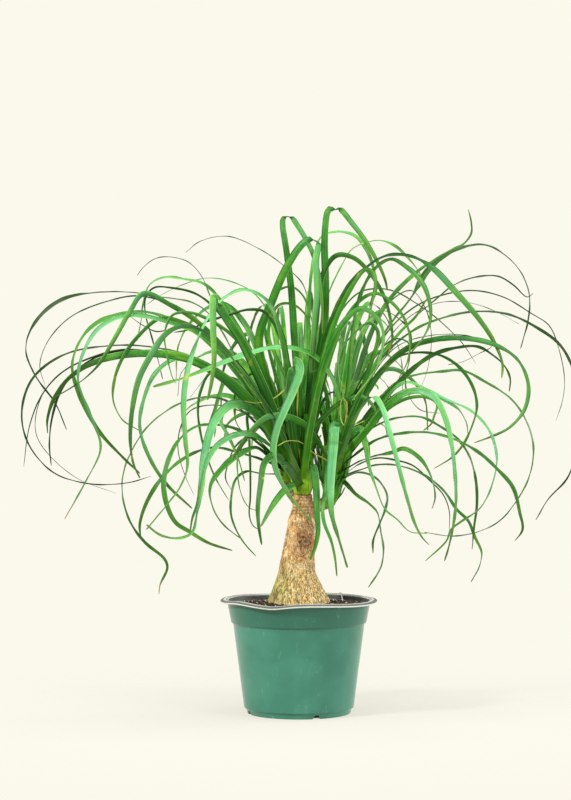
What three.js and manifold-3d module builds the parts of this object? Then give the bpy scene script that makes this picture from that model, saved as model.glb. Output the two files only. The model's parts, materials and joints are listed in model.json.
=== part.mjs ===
// Potted ponytail palm: a young plant whose single woody stem, flared where it enters the soil, carries
// three heads of long arching strap leaves. It grows in a thin green nursery pot.
// Millimetres, +Z up. The origin is on the pot's axis, on the surface the pot stands on, and the front
// of the plant looks towards -Y.
import * as THREE from 'three';
import { mergeVertices } from 'three/addons/utils/BufferGeometryUtils.js';
import Module from 'manifold-3d';

// Pot
const POT_HEIGHT = 119.4;
const RIM_RADIUS = 82.6;
const FOOT_RADIUS = 54.2;
const WALL = 1.3;
const FLOOR_TOP = 1.6;
const BAND_FOOT = 94; // the plain wall ends here, and the wider band under the rim starts
const NOTCH_RADIUS = 4.2;
const NOTCH_COUNT = 4;
const NOTCH_AZIMUTH = 19.5; // of the first drain notch, from the front towards +X
const POT_SIDES = 44;

// Soil
const SOIL_LEVEL = 113.5;
const SOIL_SIDES = 32;
const CLEARANCE = 0.3; // between pieces that touch

// Stem: height, centre across, radius. The stem leans a little to the right as it rises.
const STEM_SIDES = 20;
const STEM = [
  [72, -0.5, 9], [76, -0.5, 21], [84, -0.5, 31], [96, -0.5, 36.4], [106, -0.5, 36], [113.8, -0.5, 34.3],
  [119.5, -0.7, 31.8], [125.8, -0.9, 28.9], [136.5, -1.5, 24.1], [147.4, -2.2, 20], [157.9, -1.5, 18.5],
  [168.4, -0.5, 17.3], [179.3, 1, 16.2], [190.5, 2.1, 15.3], [201, 2.6, 14.2], [211.5, 4, 11.8],
  [222, 4.7, 10.3], [229, 4.4, 9.6],
];
const SIDE_STEM_RADIUS = 6.8;

// Leaf heads: the foot of each core
const HEADS = {
  L: new THREE.Vector3(-10, 13, 242),
  C: new THREE.Vector3(4, -4, 229.3),
  R: new THREE.Vector3(36, 1, 238),
};
const CORE = [[0, 7.5], [12, 11], [30, 9], [46, 4]]; // height above its foot, radius
const CORE_SIDES = 10;

// Blades
const TAPER = 0.5; // power by which a blade narrows towards its tip
const TIP_SHARE = 0.1; // of a blade's width that is left at its tip
const BASE_NARROWING = 0.4; // share of its width that a blade loses where it leaves its head
const KEEL_BASE = 1.5;
const KEEL_TIP = 0.8;
const TWIST = 25; // most that a blade twists by chance, in degrees
const FACING = 0.75; // share of the way that a blade turns its flat side to the front
const FOLD_SPREAD = 0.012; // share of its length over which a folded leaf turns edge-on
const STATIONS = 96; // along each blade's middle line
const FACING_STATION = 57; // where the turn to the front is measured
const CHORD_ERROR = 3; // how far a blade's straight stretches may leave its line
const DEPTH_POWER = 2.2;
const EYE = new THREE.Vector3(-14, -2350, 328); // the front outlines are given as seen from here

// Leaves seen from the front. Each row: head, width, depth of the tip (+Y is to the back), then the
// middle line as X and Z pairs in the plane through the pot's axis, starting after the base. Where the
// leaf doesn't just face the front by rule, its turns follow, at even steps from its base to its tip, in
// degrees: at 0 it is seen edge-on from the front, and at 90 flat. Last comes, where a leaf is folded
// over, the share of its length at which the fold is.
const FRONT_LEAVES = [
  // left of the stem, outermost and uppermost first
  ['L', 7.8, 60, [-45, 330, -100, 424, -147, 437, -193, 442, -248, 434, -276, 411, -287, 383, -277, 354,
    -256, 325, -244, 297], [10, 10, 10, 12, 12, 12, 12, 80, 20, 45, 50]],
  ['L', 2.6, 110, [-50, 335, -110, 415, -165, 437, -200, 432, -240, 415, -264, 389, -272, 364, -266,
    342]],
  ['L', 9, -90, [-40, 330, -104, 408, -135, 428, -163, 440, -178, 420, -195, 390, -212, 363, -230, 347,
    -256, 331], [60, 60, 60, 60, 60, 50, 60, 70, 75, 20, 20]],
  ['L', 3, 40, [-50, 325, -110, 365, -180, 381, -222, 371, -250, 356, -270, 333, -283, 300, -289, 258]],
  ['L', 1.6, 130, [-50, 330, -120, 372, -190, 378, -240, 363, -268, 336, -277, 300, -270, 280, -235, 247,
    -192, 230]],
  ['L', 4, -40, [-45, 315, -95, 366, -150, 383, -200, 385, -248, 375, -280, 350, -291, 315, -284, 282,
    -258, 252, -220, 240, -180, 241, -155, 248], [30, 30, 30, 30, 30, 35, 90, 55, 40, 50, 60]],
  ['C', 12, -70, [-30, 300, -70, 345, -115, 371, -165, 377, -208, 370, -238, 354, -256, 332, -264, 308,
    -264, 293], [60, 65, 70, 80, 80, 80, 80, 80, 40, 50, 40]],
  ['L', 6, 20, [-45, 320, -95, 364, -150, 379, -205, 376, -232, 360, -249, 340, -259, 310, -262, 282,
    -260, 259], [20, 20, 20, 20, 20, 20, 25, 40, 80, 40, 60]],
  ['L', 10, -60, [-45, 330, -100, 394, -140, 415, -168, 421, -205, 413, -226, 396, -238, 366, -232, 338,
    -211, 297, -187, 270, -167, 251], [50, 50, 50, 50, 45, 18, 45, 22, 90, 65, 60]],
  ['C', 7, -100, [-40, 330, -95, 392, -140, 411, -178, 417, -207, 406, -224, 383, -232, 350, -218, 310,
    -208, 278, -222, 246, -246, 203], [60, 60, 60, 60, 60, 60, 70, 40, 60, 30, 60]],
  ['L', 6, 30, [-35, 340, -70, 400, -93, 437, -100, 455, -113, 471, -130, 478, -150, 477, -163, 468, -170,
    459], [30, 0]],
  ['C', 2.2, 150, [10, 340, 12, 400, 5, 448, -12, 466, -42, 487, -75, 500, -103, 495, -119, 483]],
  ['C', 2.2, 120, [-8, 340, -22, 400, -45, 438, -70, 452, -97, 456, -122, 449, -145, 438, -160, 428]],
  ['C', 10, -160, [-8, 330, -18, 395, -34, 433, -58, 444, -80, 434, -97, 412, -107, 390, -117, 358, -121,
    325, -119, 285, -117, 258, -125, 236, -142, 214, -160, 192], [60, 60, 60, 50, 28, 25, 22, 85, 70, 20,
    40]],
  ['C', 6, -50, [-5, 340, -20, 395, -35, 420, -52, 423, -75, 417, -97, 410, -115, 402, -131, 399]],
  ['L', 6, -100, [-30, 330, -62, 388, -90, 410, -115, 420, -133, 417, -141, 398, -139, 378, -133, 352,
    -129, 345]],
  ['L', 4, -30, [-38, 340, -80, 415, -107, 439, -135, 446, -152, 446, -161, 436, -161, 418, -155, 396,
    -149, 374, -143, 350]],
  ['L', 6, 70, [-35, 345, -70, 415, -98, 449, -120, 455, -140, 457, -156, 450, -163, 432, -166, 410, -170,
    390]],
  ['L', 7, -70, [-42, 320, -85, 385, -115, 407, -145, 414, -165, 399, -183, 376, -193, 352, -195, 328,
    -186, 308, -168, 296], [30, 30, 30, 40, 40, 45, 55, 70, 70, 30, 30]],
  ['L', 3, 50, [-40, 325, -85, 388, -112, 404, -135, 402, -150, 400, -163, 406, -179, 417]],
  ['C', 11, -180, [-30, 315, -75, 378, -100, 400, -120, 406, -139, 398, -156, 374, -168, 350, -175, 318,
    -177, 285, -174, 262, -167, 246], [40, 35, 30, 22, 15, 12, 35, 70, 80, 50, 40]],
  ['L', 9, -50, [-40, 305, -85, 352, -128, 371, -150, 357, -163, 328, -167, 300, -158, 270, -140, 241,
    -112, 214], [33, 33, 33, 33, 40, 46, 48, 40, 60, 90, 90]],
  ['R', 14, -80, [44, 300, 38, 345, 16, 375, -20, 384, -60, 375, -98, 360, -128, 349, -153, 342], [40, 35,
    30, 28, 27, 27, 30, 40, 45, 25, 85]],
  ['L', 12.5, -170, [-25, 310, -48, 365, -62, 393, -77, 415, -84, 429, -87, 436, -89, 438, -90, 433, -90,
    405, -89, 372, -92, 345, -96, 328], [85, 85], 0.69],
  ['L', 2, 140, [-40, 330, -75, 368, -93, 358, -104, 344, -114, 331]],
  ['L', 5, 60, [-40, 325, -75, 352, -92, 357, -103, 338, -106, 318, -103, 292, -97, 270, -88, 247, -74,
    223]],
  ['L', 12, -150, [-25, 290, -48, 318, -68, 324, -84, 313, -93, 295, -100, 265, -102, 240, -107, 210,
    -112, 189, -125, 183, -145, 186, -160, 197], [70, 70, 75, 80, 85, 85, 80, 75, 25, 30, 40]],
  ['L', 9, -170, [-25, 275, -48, 292, -68, 291, -86, 280, -97, 262, -102, 240, -107, 218, -112, 203, -114,
    190]],
  ['L', 11, -60, [-25, 262, -45, 278, -63, 271, -80, 257, -92, 240, -93, 224, -86, 206, -75, 193, -62,
    183], [25, 20, 18, 20, 50, 55, 44, 20, 15, 18, 30]],
  ['L', 4, -40, [-22, 250, -40, 251, -55, 253, -66, 245, -71, 226, -71, 207, -65, 190, -56, 176, -45,
    164]],
  ['C', 10, -200, [-12, 258, -26, 270, -36, 262, -40, 240, -43, 215, -42, 195, -39, 176], [80, 80], 0.38],
  ['L', 4, 60, [-25, 290, -42, 318, -53, 315, -52, 285, -51, 255, -51, 225, -52, 207, -48, 196, -40,
    191]],
  ['L', 6.5, -80, [-28, 285, -52, 318, -72, 322, -82, 307, -74, 290, -65, 270, -60, 254, -57, 243], [40,
    40, 40, 45, 55, 85, 85, 80, 70, 40, 40]],
  ['L', 2.4, -30, [-25, 275, -50, 288, -63, 272, -64, 248, -60, 228, -52, 215, -41, 211]],
  ['L', 8, -30, [-28, 285, -55, 313, -78, 328, -103, 331, -132, 321, -158, 301, -178, 270, -186, 238,
    -178, 202, -162, 179, -141, 161, -138, 152, -146, 133, -147, 124], [15, 15, 15, 15, 15, 15, 15, 20,
    50, 90, 40]],
  ['L', 8.5, -60, [-30, 262, -60, 272, -90, 278, -117, 269, -143, 247, -160, 220, -167, 197, -166, 183],
    [15, 15, 15, 15, 18, 28, 35, 45, 90, 90, 60]],
  ['L', 9, -80, [-30, 272, -60, 295, -85, 302, -108, 300, -126, 286, -138, 262, -142, 240, -138, 216,
    -129, 199, -115, 190, -95, 178, -70, 170], [20, 20, 20, 20, 20, 20, 20, 20, 20, 17, 34, 45, 58, 78,
    85, 80, 82, 85, 85, 70, 50]],
  ['L', 2, 100, [-35, 300, -80, 322, -112, 318, -123, 303, -127, 278, -120, 250, -110, 228]],
  ['L', 3, 40, [-28, 272, -50, 290, -66, 280, -74, 262, -77, 246, -70, 232]],
  ['L', 7, 20, [-30, 300, -60, 345, -76, 350, -83, 335, -88, 318, -95, 298, -98, 275]],
  ['L', 5, -20, [-28, 290, -52, 330, -65, 338, -68, 322, -66, 305, -60, 295]],
  ['L', 11, -60, [-28, 330, -42, 390, -28, 432, -13, 467, 4, 492, 13, 497, 20, 493, 18, 476, 19, 440, 16,
    408, 14, 375, 14, 357, 24, 363, 31, 386], [80, 80], 0.6],
  ['L', 5, -10, [-20, 335, -36, 415, -24, 441, -8, 447, 4, 438, 12, 418, 16, 397]],
  // over and in front of the stem
  ['C', 10, -45, [-4, 240, -15, 233, -27, 218, -40, 195]],
  ['C', 12, -130, [-6, 300, -8, 350, -3, 369, 1, 362, -6, 338, -15, 318, -23, 298, -27, 276, -24, 254,
    -15, 236, -4, 220, 14, 200], [85, 85, 85, 85, 85, 85, 85, 85, 85, 85, 85, 85, 85, 85, 85, 85, 70, 50,
    40, 32, 30], 0.435],
  ['C', 10, -50, [9, 258, 14, 260, 18, 238, 19, 212, 20, 188, 17, 173, 12, 160]],
  ['C', 9.5, -40, [0, 330, -5, 400, -8, 445, -13, 485, -17, 513, -16, 519, -12, 521, -7, 519, -2, 512, 10,
    492, 18, 472, 23, 445, 25, 418, 25, 398], [85, 85], 0.668],
  ['C', 11, -10, [14, 330, 26, 400, 28, 450, 27, 490, 28, 512, 30, 525, 33, 529, 37, 528, 42, 529, 46,
    526, 54, 516, 70, 495, 83, 472, 91, 453, 93, 443], [85, 85], 0.725],
  ['C', 9, 60, [8, 340, 10, 420, 16, 480, 24, 500, 42, 505, 60, 500, 71, 486, 78, 468, 80, 448, 74, 425],
    [60, 60, 60, 60, 50, 40, 25, 19, 75, 80, 80]],
  ['C', 8, -40, [10, 330, 17, 400, 26, 462, 40, 480, 58, 477, 74, 462, 88, 440, 96, 414, 98, 392, 94,
    376]],
  ['C', 7.5, 50, [14, 330, 28, 430, 44, 468, 55, 486, 66, 492, 84, 496, 101, 490, 114, 478, 126, 463, 132,
    448], [15, 15, 15, 15, 15, 15, 15, 15, 15, 15, 15, 15, 15, 15, 15, 15, 22, 85, 70, 30, 40]],
  ['C', 12, -30, [16, 320, 32, 400, 52, 445, 73, 469, 93, 480, 118, 479, 140, 467, 165, 441, 190, 412,
    206, 387, 214, 365, 213, 351], [20, 22, 26, 32, 40, 48, 55, 55, 55, 55, 20, 16, 20, 22, 65, 85, 85,
    75, 60, 50, 50]],
  ['C', 9, -90, [14, 315, 34, 400, 55, 446, 70, 465, 78, 462, 81, 445, 77, 430, 73, 412]],
  ['C', 2.5, 60, [14, 320, 38, 410, 62, 440, 82, 445, 101, 442, 121, 431, 141, 417, 159, 401, 173, 386,
    186, 366]],
  ['C', 9, -190, [12, 300, 30, 375, 46, 408, 64, 424, 79, 418, 88, 402, 88, 383, 83, 365, 73, 349, 56,
    327]],
  ['C', 2, -80, [-2, 300, -3, 350, -8, 352, -16, 338, -30, 328, -45, 325, -57, 327]],
  ['C', 8, -60, [6, 265, 12, 290, 24, 308, 38, 321, 52, 329, 66, 332, 78, 322, 84, 305]],
  ['C', 6, -50, [14, 300, 45, 405, 66, 434, 82, 440, 98, 430, 111, 413, 117, 390, 114, 368, 105, 351]],
  ['C', 6, 30, [-10, 340, -32, 398, -22, 427, -8, 429, 5, 420, 13, 405]],
  // right of the stem, uppermost first
  ['R', 10, -60, [50, 330, 62, 430, 80, 466, 97, 476, 114, 467, 129, 452, 137, 432, 138, 411, 131, 394,
    118, 378], [30, 30, 30, 30, 30, 30, 30, 30, 30, 30, 30, 30, 30, 25, 50, 85, 75, 50, 37, 40, 60]],
  ['R', 8, 40, [55, 335, 80, 408, 97, 436, 122, 461, 142, 475, 161, 486, 173, 492, 181, 503, 181, 515,
    178, 528], [60, 60, 60, 60, 60, 60, 60, 60, 60, 60, 60, 60, 60, 60, 60, 30, 35, 60, 30, 50, 60]],
  ['R', 9.5, 20, [55, 330, 92, 402, 118, 436, 136, 465, 157, 482, 178, 490, 196, 491, 213, 483, 231, 466,
    242, 440, 241, 413, 233, 382], [15, 15, 15, 15, 15, 15, 15, 15, 15, 10, 75, 60, 35, 30, 22, 15, 12,
    20, 30, 35, 40]],
  ['R', 4.5, 50, [55, 325, 100, 392, 126, 419, 143, 433, 163, 449, 185, 457, 209, 458, 225, 449, 240, 436,
    246, 440], [30, 30, 30, 30, 30, 25, 25, 28, 40, 90, 90]],
  ['R', 2.2, 100, [58, 325, 92, 398, 122, 426, 150, 438, 183, 443, 215, 436, 244, 419, 263, 406, 273, 382,
    279, 350, 277, 328, 270, 306]],
  ['R', 5, -30, [60, 318, 88, 373, 120, 401, 150, 414, 185, 421, 220, 418, 250, 404, 275, 385, 291, 352,
    297, 316, 293, 278, 282, 246, 262, 224, 249, 202], [35, 35, 35, 35, 35, 35, 80, 50, 55, 70, 60]],
  ['R', 8.5, -40, [58, 310, 84, 355, 112, 381, 140, 391, 172, 393, 206, 386, 230, 370, 241, 344, 237, 318,
    221, 299, 203, 290, 184, 283], [60, 60, 60, 60, 60, 65, 65, 20, 80, 50, 60]],
  ['R', 10, -20, [55, 290, 92, 332, 120, 361, 142, 376, 166, 383, 188, 384, 204, 375, 216, 364, 222, 350,
    221, 337], [40, 45, 46, 46, 46, 46, 40, 32, 25, 17, 40]],
  ['R', 6.5, -60, [58, 310, 84, 356, 106, 374, 128, 378, 151, 374, 170, 361, 183, 341, 187, 321, 182, 301,
    173, 282, 161, 268, 142, 256], [25, 25, 25, 25, 25, 27, 45, 60, 22, 90, 40]],
  ['R', 6.5, -10, [55, 290, 85, 330, 105, 348, 125, 355, 150, 358, 172, 359, 196, 347, 221, 331, 237, 310,
    246, 283, 244, 254, 232, 227, 212, 202, 190, 190, 160, 185, 132, 189], [30, 30, 28, 22, 38, 27, 30,
    25, 25, 22, 30]],
  ['R', 6, -50, [52, 280, 80, 315, 100, 340, 114, 347, 131, 341, 155, 329, 182, 316, 200, 296, 208, 268,
    204, 242, 191, 215, 170, 200, 160, 192, 155, 180, 133, 159], [35, 35, 35, 40, 30, 35, 55, 25, 30, 80,
    60]],
  ['R', 9, -170, [50, 272, 72, 297, 93, 322, 109, 334, 126, 338, 143, 330, 154, 309, 160, 284, 164, 252,
    165, 220, 162, 195, 157, 172, 153, 159], [60, 60, 60, 60, 50, 90, 75, 55, 50, 50, 60]],
  ['R', 6, -70, [50, 268, 74, 298, 95, 320, 115, 330, 134, 331, 145, 324, 142, 311, 139, 303, 131, 296]],
  ['R', 8, 30, [52, 275, 84, 318, 110, 337, 135, 337, 155, 327, 169, 317, 176, 304, 178, 291], [40, 40,
    40, 40, 40, 40, 45, 50, 65, 25, 20]],
  ['R', 6, -40, [50, 272, 68, 292, 87, 304, 107, 310, 129, 310, 149, 300, 167, 287, 180, 267, 186, 243,
    187, 218, 184, 194, 182, 171], [15, 15, 15, 20, 25, 40, 40, 38, 90, 90, 60]],
  ['R', 8.5, -60, [48, 262, 62, 273, 83, 287, 107, 293, 136, 294, 163, 287, 189, 273, 209, 255, 225, 236,
    232, 210, 235, 192, 227, 180], [15, 15, 18, 20, 20, 23, 35, 50, 80, 80, 50]],
  ['R', 8, -70, [50, 256, 64, 264, 82, 270, 98, 273, 110, 277, 126, 268, 136, 254, 142, 237, 143, 224,
    140, 214], [5, 5, 5, 8, 12, 45, 70, 55, 35, 25, 40]],
  ['R', 2.6, 50, [50, 252, 62, 260, 82, 267, 101, 265, 120, 259, 137, 244, 152, 228, 158, 211, 158, 191]],
  ['R', 6, -30, [50, 250, 62, 254, 82, 260, 106, 259, 132, 249, 152, 233, 166, 213, 178, 201, 185, 184,
    192, 168, 190, 154, 181, 137], [12, 12, 14, 16, 23, 35, 45, 70, 90, 30, 40]],
  ['R', 9, -200, [48, 280, 62, 315, 78, 332, 87, 321, 96, 292, 106, 254, 114, 224, 122, 198, 130, 183,
    137, 176]],
  ['R', 8, -90, [46, 268, 56, 292, 65, 298, 70, 280, 74, 258, 82, 234, 91, 213, 103, 203, 117, 190, 135,
    188], [70, 70, 70, 70, 70, 60, 30, 20, 20, 20, 20]],
  ['R', 9, -60, [48, 247, 62, 252, 76, 249, 87, 240, 93, 226, 90, 211, 84, 196, 78, 180, 78, 167], [0,
    40]],
  ['R', 6, -30, [46, 243, 60, 229, 74, 219, 83, 209, 86, 191, 89, 170, 86, 152, 73, 131], [70, 60, 50, 30,
    20, 20, 25, 30, 35, 40, 40]],
  ['R', 2.2, -40, [52, 320, 78, 370, 100, 392, 115, 388, 116, 370, 112, 352, 115, 334, 127, 318, 148,
    314]],
  ['R', 2, 80, [55, 340, 90, 425, 118, 443, 133, 424, 139, 400, 138, 375, 133, 353, 129, 343]],
  ['R', 6, -170, [50, 300, 74, 360, 83, 400, 74, 409, 58, 398, 45, 381, 41, 360, 45, 341, 51, 309]],
  ['R', 2, -70, [44, 280, 50, 325, 46, 330, 43, 313, 48, 301, 58, 301, 69, 306]],
  ['R', 6, 10, [55, 310, 85, 372, 107, 400, 123, 416, 133, 432, 138, 438]],
  ['R', 1.4, 130, [58, 320, 100, 400, 130, 424, 152, 431, 180, 430, 207, 421, 231, 408]],
  ['R', 1.6, 90, [60, 320, 100, 382, 140, 396, 180, 395, 203, 385, 190, 377, 172, 368, 157, 365]],
  // from the right head, in front of and across the stem
  ['R', 13, -100, [41, 275, 41, 298, 38, 302, 36, 280, 34, 255, 33, 230, 35, 206, 42, 182, 51, 152], [85,
    85, 85, 85, 85, 85, 85, 60, 35, 30, 40], 0.29],
  ['R', 6, -60, [36, 268, 31, 262, 28, 236, 25, 212, 27, 198, 34, 180, 38, 162, 40, 143]],
  ['R', 2, -60, [30, 264, 16, 272, 1, 284, -12, 285, -22, 280]],
  ['R', 10, -90, [32, 262, 20, 284, 4, 303, -15, 311, -33, 310, -48, 298, -60, 282, -70, 266], [20, 20,
    20, 30, 50, 70, 80, 80, 80, 80, 80]],
];

// Leaves of the back, which arch away from the front in three layers. Angles are in degrees from +X
// towards +Y, and each head fills its own share of the fan.
const BACK_LAYERS = [
  { count: 13, apex: [395, 465], reach: [140, 205], tipDrop: [40, 100], width: [7, 9] },
  { count: 13, apex: [330, 390], reach: [160, 225], tipDrop: [35, 75], width: [7, 10] },
  { count: 10, apex: [282, 315], reach: [110, 175], tipDrop: [15, 45], width: [6, 9] },
];
const BACK_FANS = { R: [48, 88], C: [62, 104], L: [92, 134] };
const YOUNG_LEAVES = 4; // short upright ones in the middle of each head

const radians = THREE.MathUtils.degToRad;
const { lerp, smoothstep } = THREE.MathUtils;
const bell = (value, middle, spread) => Math.exp(-(((value - middle) / spread) ** 2));
const wasm = await Module();
wasm.setup();

// Chance: every draw comes from one seeded sequence
let seed = 20261;
function chance() {
  seed = (seed * 16807) % 2147483647;
  return (seed - 1) / 2147483646;
}
const drawn = ([low, high]) => lerp(low, high, chance());

// Solids
function toSolid(geometry) {
  const plain = geometry.clone();
  plain.deleteAttribute('normal');
  plain.deleteAttribute('uv');
  const merged = mergeVertices(plain, 1e-4);
  return new wasm.Manifold(new wasm.Mesh({
    numProp: 3,
    vertProperties: merged.attributes.position.array,
    triVerts: new Uint32Array(merged.index.array),
  }));
}

function toGeometry(solid) {
  const { vertProperties, triVerts } = solid.getMesh();
  const geometry = new THREE.BufferGeometry();
  geometry.setAttribute('position', new THREE.BufferAttribute(vertProperties, 3));
  geometry.setIndex(new THREE.BufferAttribute(triVerts, 1));
  geometry.computeVertexNormals();
  return geometry;
}

// The one body that holds together: a scrap, or the wall of a sealed hollow, is left out
function mainBody(solid) {
  return solid.decompose().reduce((a, b) => (b.volume() > a.volume() ? b : a));
}

// A closed skin over rings of points, each ring running anticlockwise round the way ahead. The face
// from point 0 to point 1 is split the other way, so that both sides of a thin blade fold alike.
function skin(rings) {
  const sides = rings[0].length;
  const triangles = [];
  for (let i = 0; i + 1 < rings.length; i++) {
    for (let j = 0; j < sides; j++) {
      const a = i * sides + j;
      const b = i * sides + ((j + 1) % sides);
      const [c, d] = [b + sides, a + sides];
      triangles.push(...(j === 0 ? [a, b, c, a, c, d] : [a, b, d, b, c, d]));
    }
  }
  const last = (rings.length - 1) * sides;
  for (let j = 1; j + 1 < sides; j++) {
    triangles.push(0, j + 1, j, last, last + j, last + j + 1);
  }
  const geometry = new THREE.BufferGeometry().setFromPoints(rings.flat());
  geometry.setIndex(triangles);
  return geometry;
}

// Pot: how its thin wall is out of true
function bendWithRim(geometry) {
  const points = geometry.attributes.position;
  for (let i = 0; i < points.count; i++) {
    const [x, y, z] = [points.getX(i), points.getY(i), points.getZ(i)];
    const radius = Math.hypot(x, y);
    const fromFront = Math.atan2(x, -y);
    const degrees = THREE.MathUtils.radToDeg(fromFront);
    const share = smoothstep(z, BAND_FOOT, POT_HEIGHT) * smoothstep(radius, 40, 70);
    const sag = -1.6 * bell(degrees, -20, 12) + 0.8 * bell(degrees, 0, 22) + 1.6 * bell(degrees, -52, 14);
    const ripple = 0.4 * Math.sin(3 * fromFront + 1) + 0.3 * Math.sin(5 * fromFront);
    const dent = 1.2 * bell(degrees, -36, 8) * bell(z, 103, 8) * smoothstep(radius, 60, 66);
    points.setXYZ(i, x * (1 - dent / Math.max(radius, 1)), y * (1 - dent / Math.max(radius, 1)),
      z + share * (sag + ripple));
  }
  return geometry;
}

function turned(profile, sides) {
  const outline = profile.map(([radius, height]) => new THREE.Vector2(radius, height));
  return new THREE.LatheGeometry(outline, sides).rotateX(Math.PI / 2);
}

function potGeometry() {
  const bandRadius = RIM_RADIUS - 11.6;
  const wallTop = bandRadius - 2;
  const profile = [
    // outside, from the middle of the foot to the rim
    [0, 0], [FOOT_RADIUS, 0], [FOOT_RADIUS + 1.1, 5], [FOOT_RADIUS + 3.4, 6.2],
    [wallTop, BAND_FOOT], [bandRadius, BAND_FOOT + 1], [bandRadius + 2.7, POT_HEIGHT - 10.4],
    [bandRadius + 4, POT_HEIGHT - 4.9], [RIM_RADIUS - 1.6, POT_HEIGHT - 4.2],
    [RIM_RADIUS, POT_HEIGHT - 2.6], [RIM_RADIUS - 1, POT_HEIGHT - 0.8],
    [RIM_RADIUS - 5.6, POT_HEIGHT], [bandRadius + 3.6, POT_HEIGHT - 1],
    // inside, back down to the floor
    [bandRadius + 2.6 - WALL, POT_HEIGHT - 8], [bandRadius - WALL, BAND_FOOT + 1.5],
    [wallTop - WALL, BAND_FOOT], [FOOT_RADIUS + 3.4 - WALL, 6.5], [FOOT_RADIUS - 0.6, 4.2],
    [FOOT_RADIUS - 1.6, FLOOR_TOP], [0, FLOOR_TOP],
  ];
  let solid = toSolid(bendWithRim(turned(profile, POT_SIDES)));
  for (let i = 0; i < NOTCH_COUNT; i++) {
    const cutter = new THREE.CylinderGeometry(NOTCH_RADIUS, NOTCH_RADIUS, 14, 12);
    cutter.translate(0, -(FOOT_RADIUS - 1.2), 0); // lies along Y, half below the foot
    cutter.rotateZ(radians(NOTCH_AZIMUTH + (i * 360) / NOTCH_COUNT));
    solid = solid.subtract(toSolid(cutter));
  }
  return toGeometry(solid);
}

// Stem
function stemRings(extra) {
  return STEM.map(([z, x, radius]) => {
    const flare = smoothstep(radius, 14, 32);
    return Array.from({ length: STEM_SIDES }, (_, j) => {
      const angle = (j / STEM_SIDES) * 2 * Math.PI;
      const flute = 0.035 * flare * Math.sin(5 * angle + 0.6) + 0.02 * Math.sin(2 * angle + z / 30);
      const reach = radius * (1 + flute) + extra;
      return new THREE.Vector3(x + reach * Math.cos(angle), reach * Math.sin(angle), z);
    });
  });
}

// A short side stem ends level, 0.3 mm under the head that stands on it
function sideStem(points) {
  const curve = new THREE.CatmullRomCurve3(points);
  const steps = 7;
  const rings = Array.from({ length: steps + 1 }, (_, i) => {
    const middle = curve.getPoint(i / steps);
    const ahead = i === steps ? new THREE.Vector3(0, 0, 1) : curve.getTangent(i / steps);
    const side = new THREE.Vector3(0, -1, 0).projectOnPlane(ahead).normalize();
    const up = ahead.clone().cross(side);
    return Array.from({ length: 10 }, (_, j) => {
      const angle = (j / 10) * 2 * Math.PI;
      return middle.clone()
        .addScaledVector(side, SIDE_STEM_RADIUS * Math.cos(angle))
        .addScaledVector(up, SIDE_STEM_RADIUS * Math.sin(angle));
    });
  });
  return toSolid(skin(rings));
}

function seatOf(head) {
  return HEADS[head].clone().setZ(HEADS[head].z - CLEARANCE);
}

function stemGeometry() {
  const top = seatOf('L');
  const left = sideStem([
    new THREE.Vector3(4, 0, 214), new THREE.Vector3(-3, 7, 225), new THREE.Vector3(-9, 12, 234), top,
  ]);
  const end = seatOf('R');
  const right = sideStem([
    new THREE.Vector3(4, 0, 212), new THREE.Vector3(18, 0.5, 216), new THREE.Vector3(31, 1, 222),
    new THREE.Vector3(35.5, 1, 230), end,
  ]);
  return toGeometry(mainBody(toSolid(skin(stemRings(0))).add(left).add(right)));
}

// Soil: fills the pot under the rim, with a plain hole that the stem stands in
function soilGeometry() {
  const gap = CLEARANCE + 0.05;
  const wallTop = RIM_RADIUS - 13.6 - WALL - gap;
  const floor = FLOOR_TOP + CLEARANCE;
  const profile = [
    [0, floor], [FOOT_RADIUS - 2, floor], [FOOT_RADIUS - 1, 4.6], [FOOT_RADIUS + 3 - WALL, 6.9],
    [wallTop, BAND_FOOT + 0.3], [wallTop + 1.4, BAND_FOOT + 2.4], [wallTop + 3.2, SOIL_LEVEL - 3],
    [65, SOIL_LEVEL - 1], [56, SOIL_LEVEL], [47, SOIL_LEVEL + 0.6], [39, SOIL_LEVEL + 1.6],
    [30, SOIL_LEVEL + 2], [0, SOIL_LEVEL + 2],
  ];
  const geometry = bendWithRim(turned(profile, SOIL_SIDES));
  const points = geometry.attributes.position;
  for (let i = 0; i < points.count; i++) {
    const [x, y, z] = [points.getX(i), points.getY(i), points.getZ(i)];
    const radius = Math.hypot(x, y);
    if (z > SOIL_LEVEL - 2 && radius > 1) {
      const lumps = Math.sin(x / 5.1 + 1) * Math.cos(y / 4.3) + 0.6 * Math.sin((x + y) / 3.1);
      points.setZ(i, z + 1.1 * lumps);
    }
  }
  return toGeometry(mainBody(toSolid(geometry).subtract(toSolid(skin(stemRings(CLEARANCE + 0.05))))));
}

// Leaves: the points of a middle line given as seen from the front, moved along the line of sight to
// their own depth
function middleLine(head, depth, outline) {
  const foot = HEADS[head];
  const across = [foot.x];
  const heights = [foot.z];
  for (let i = 0; i < outline.length; i += 2) {
    across.push(outline[i]);
    heights.push(outline[i + 1]);
  }
  const run = [0];
  for (let i = 1; i < across.length; i++) {
    run.push(run[i - 1] + Math.hypot(across[i] - across[i - 1], heights[i] - heights[i - 1]));
  }
  const points = across.map((x, i) => {
    const share = run[i] / run[run.length - 1];
    const y = foot.y + (depth - foot.y) * (1 - (1 - share) ** DEPTH_POWER);
    const scale = 1 - y / EYE.y;
    return new THREE.Vector3(EYE.x + (x - EYE.x) * scale, y, EYE.z + (heights[i] - EYE.z) * scale);
  });
  points[0] = baseOf(head, points[1]);
  return points;
}

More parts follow.
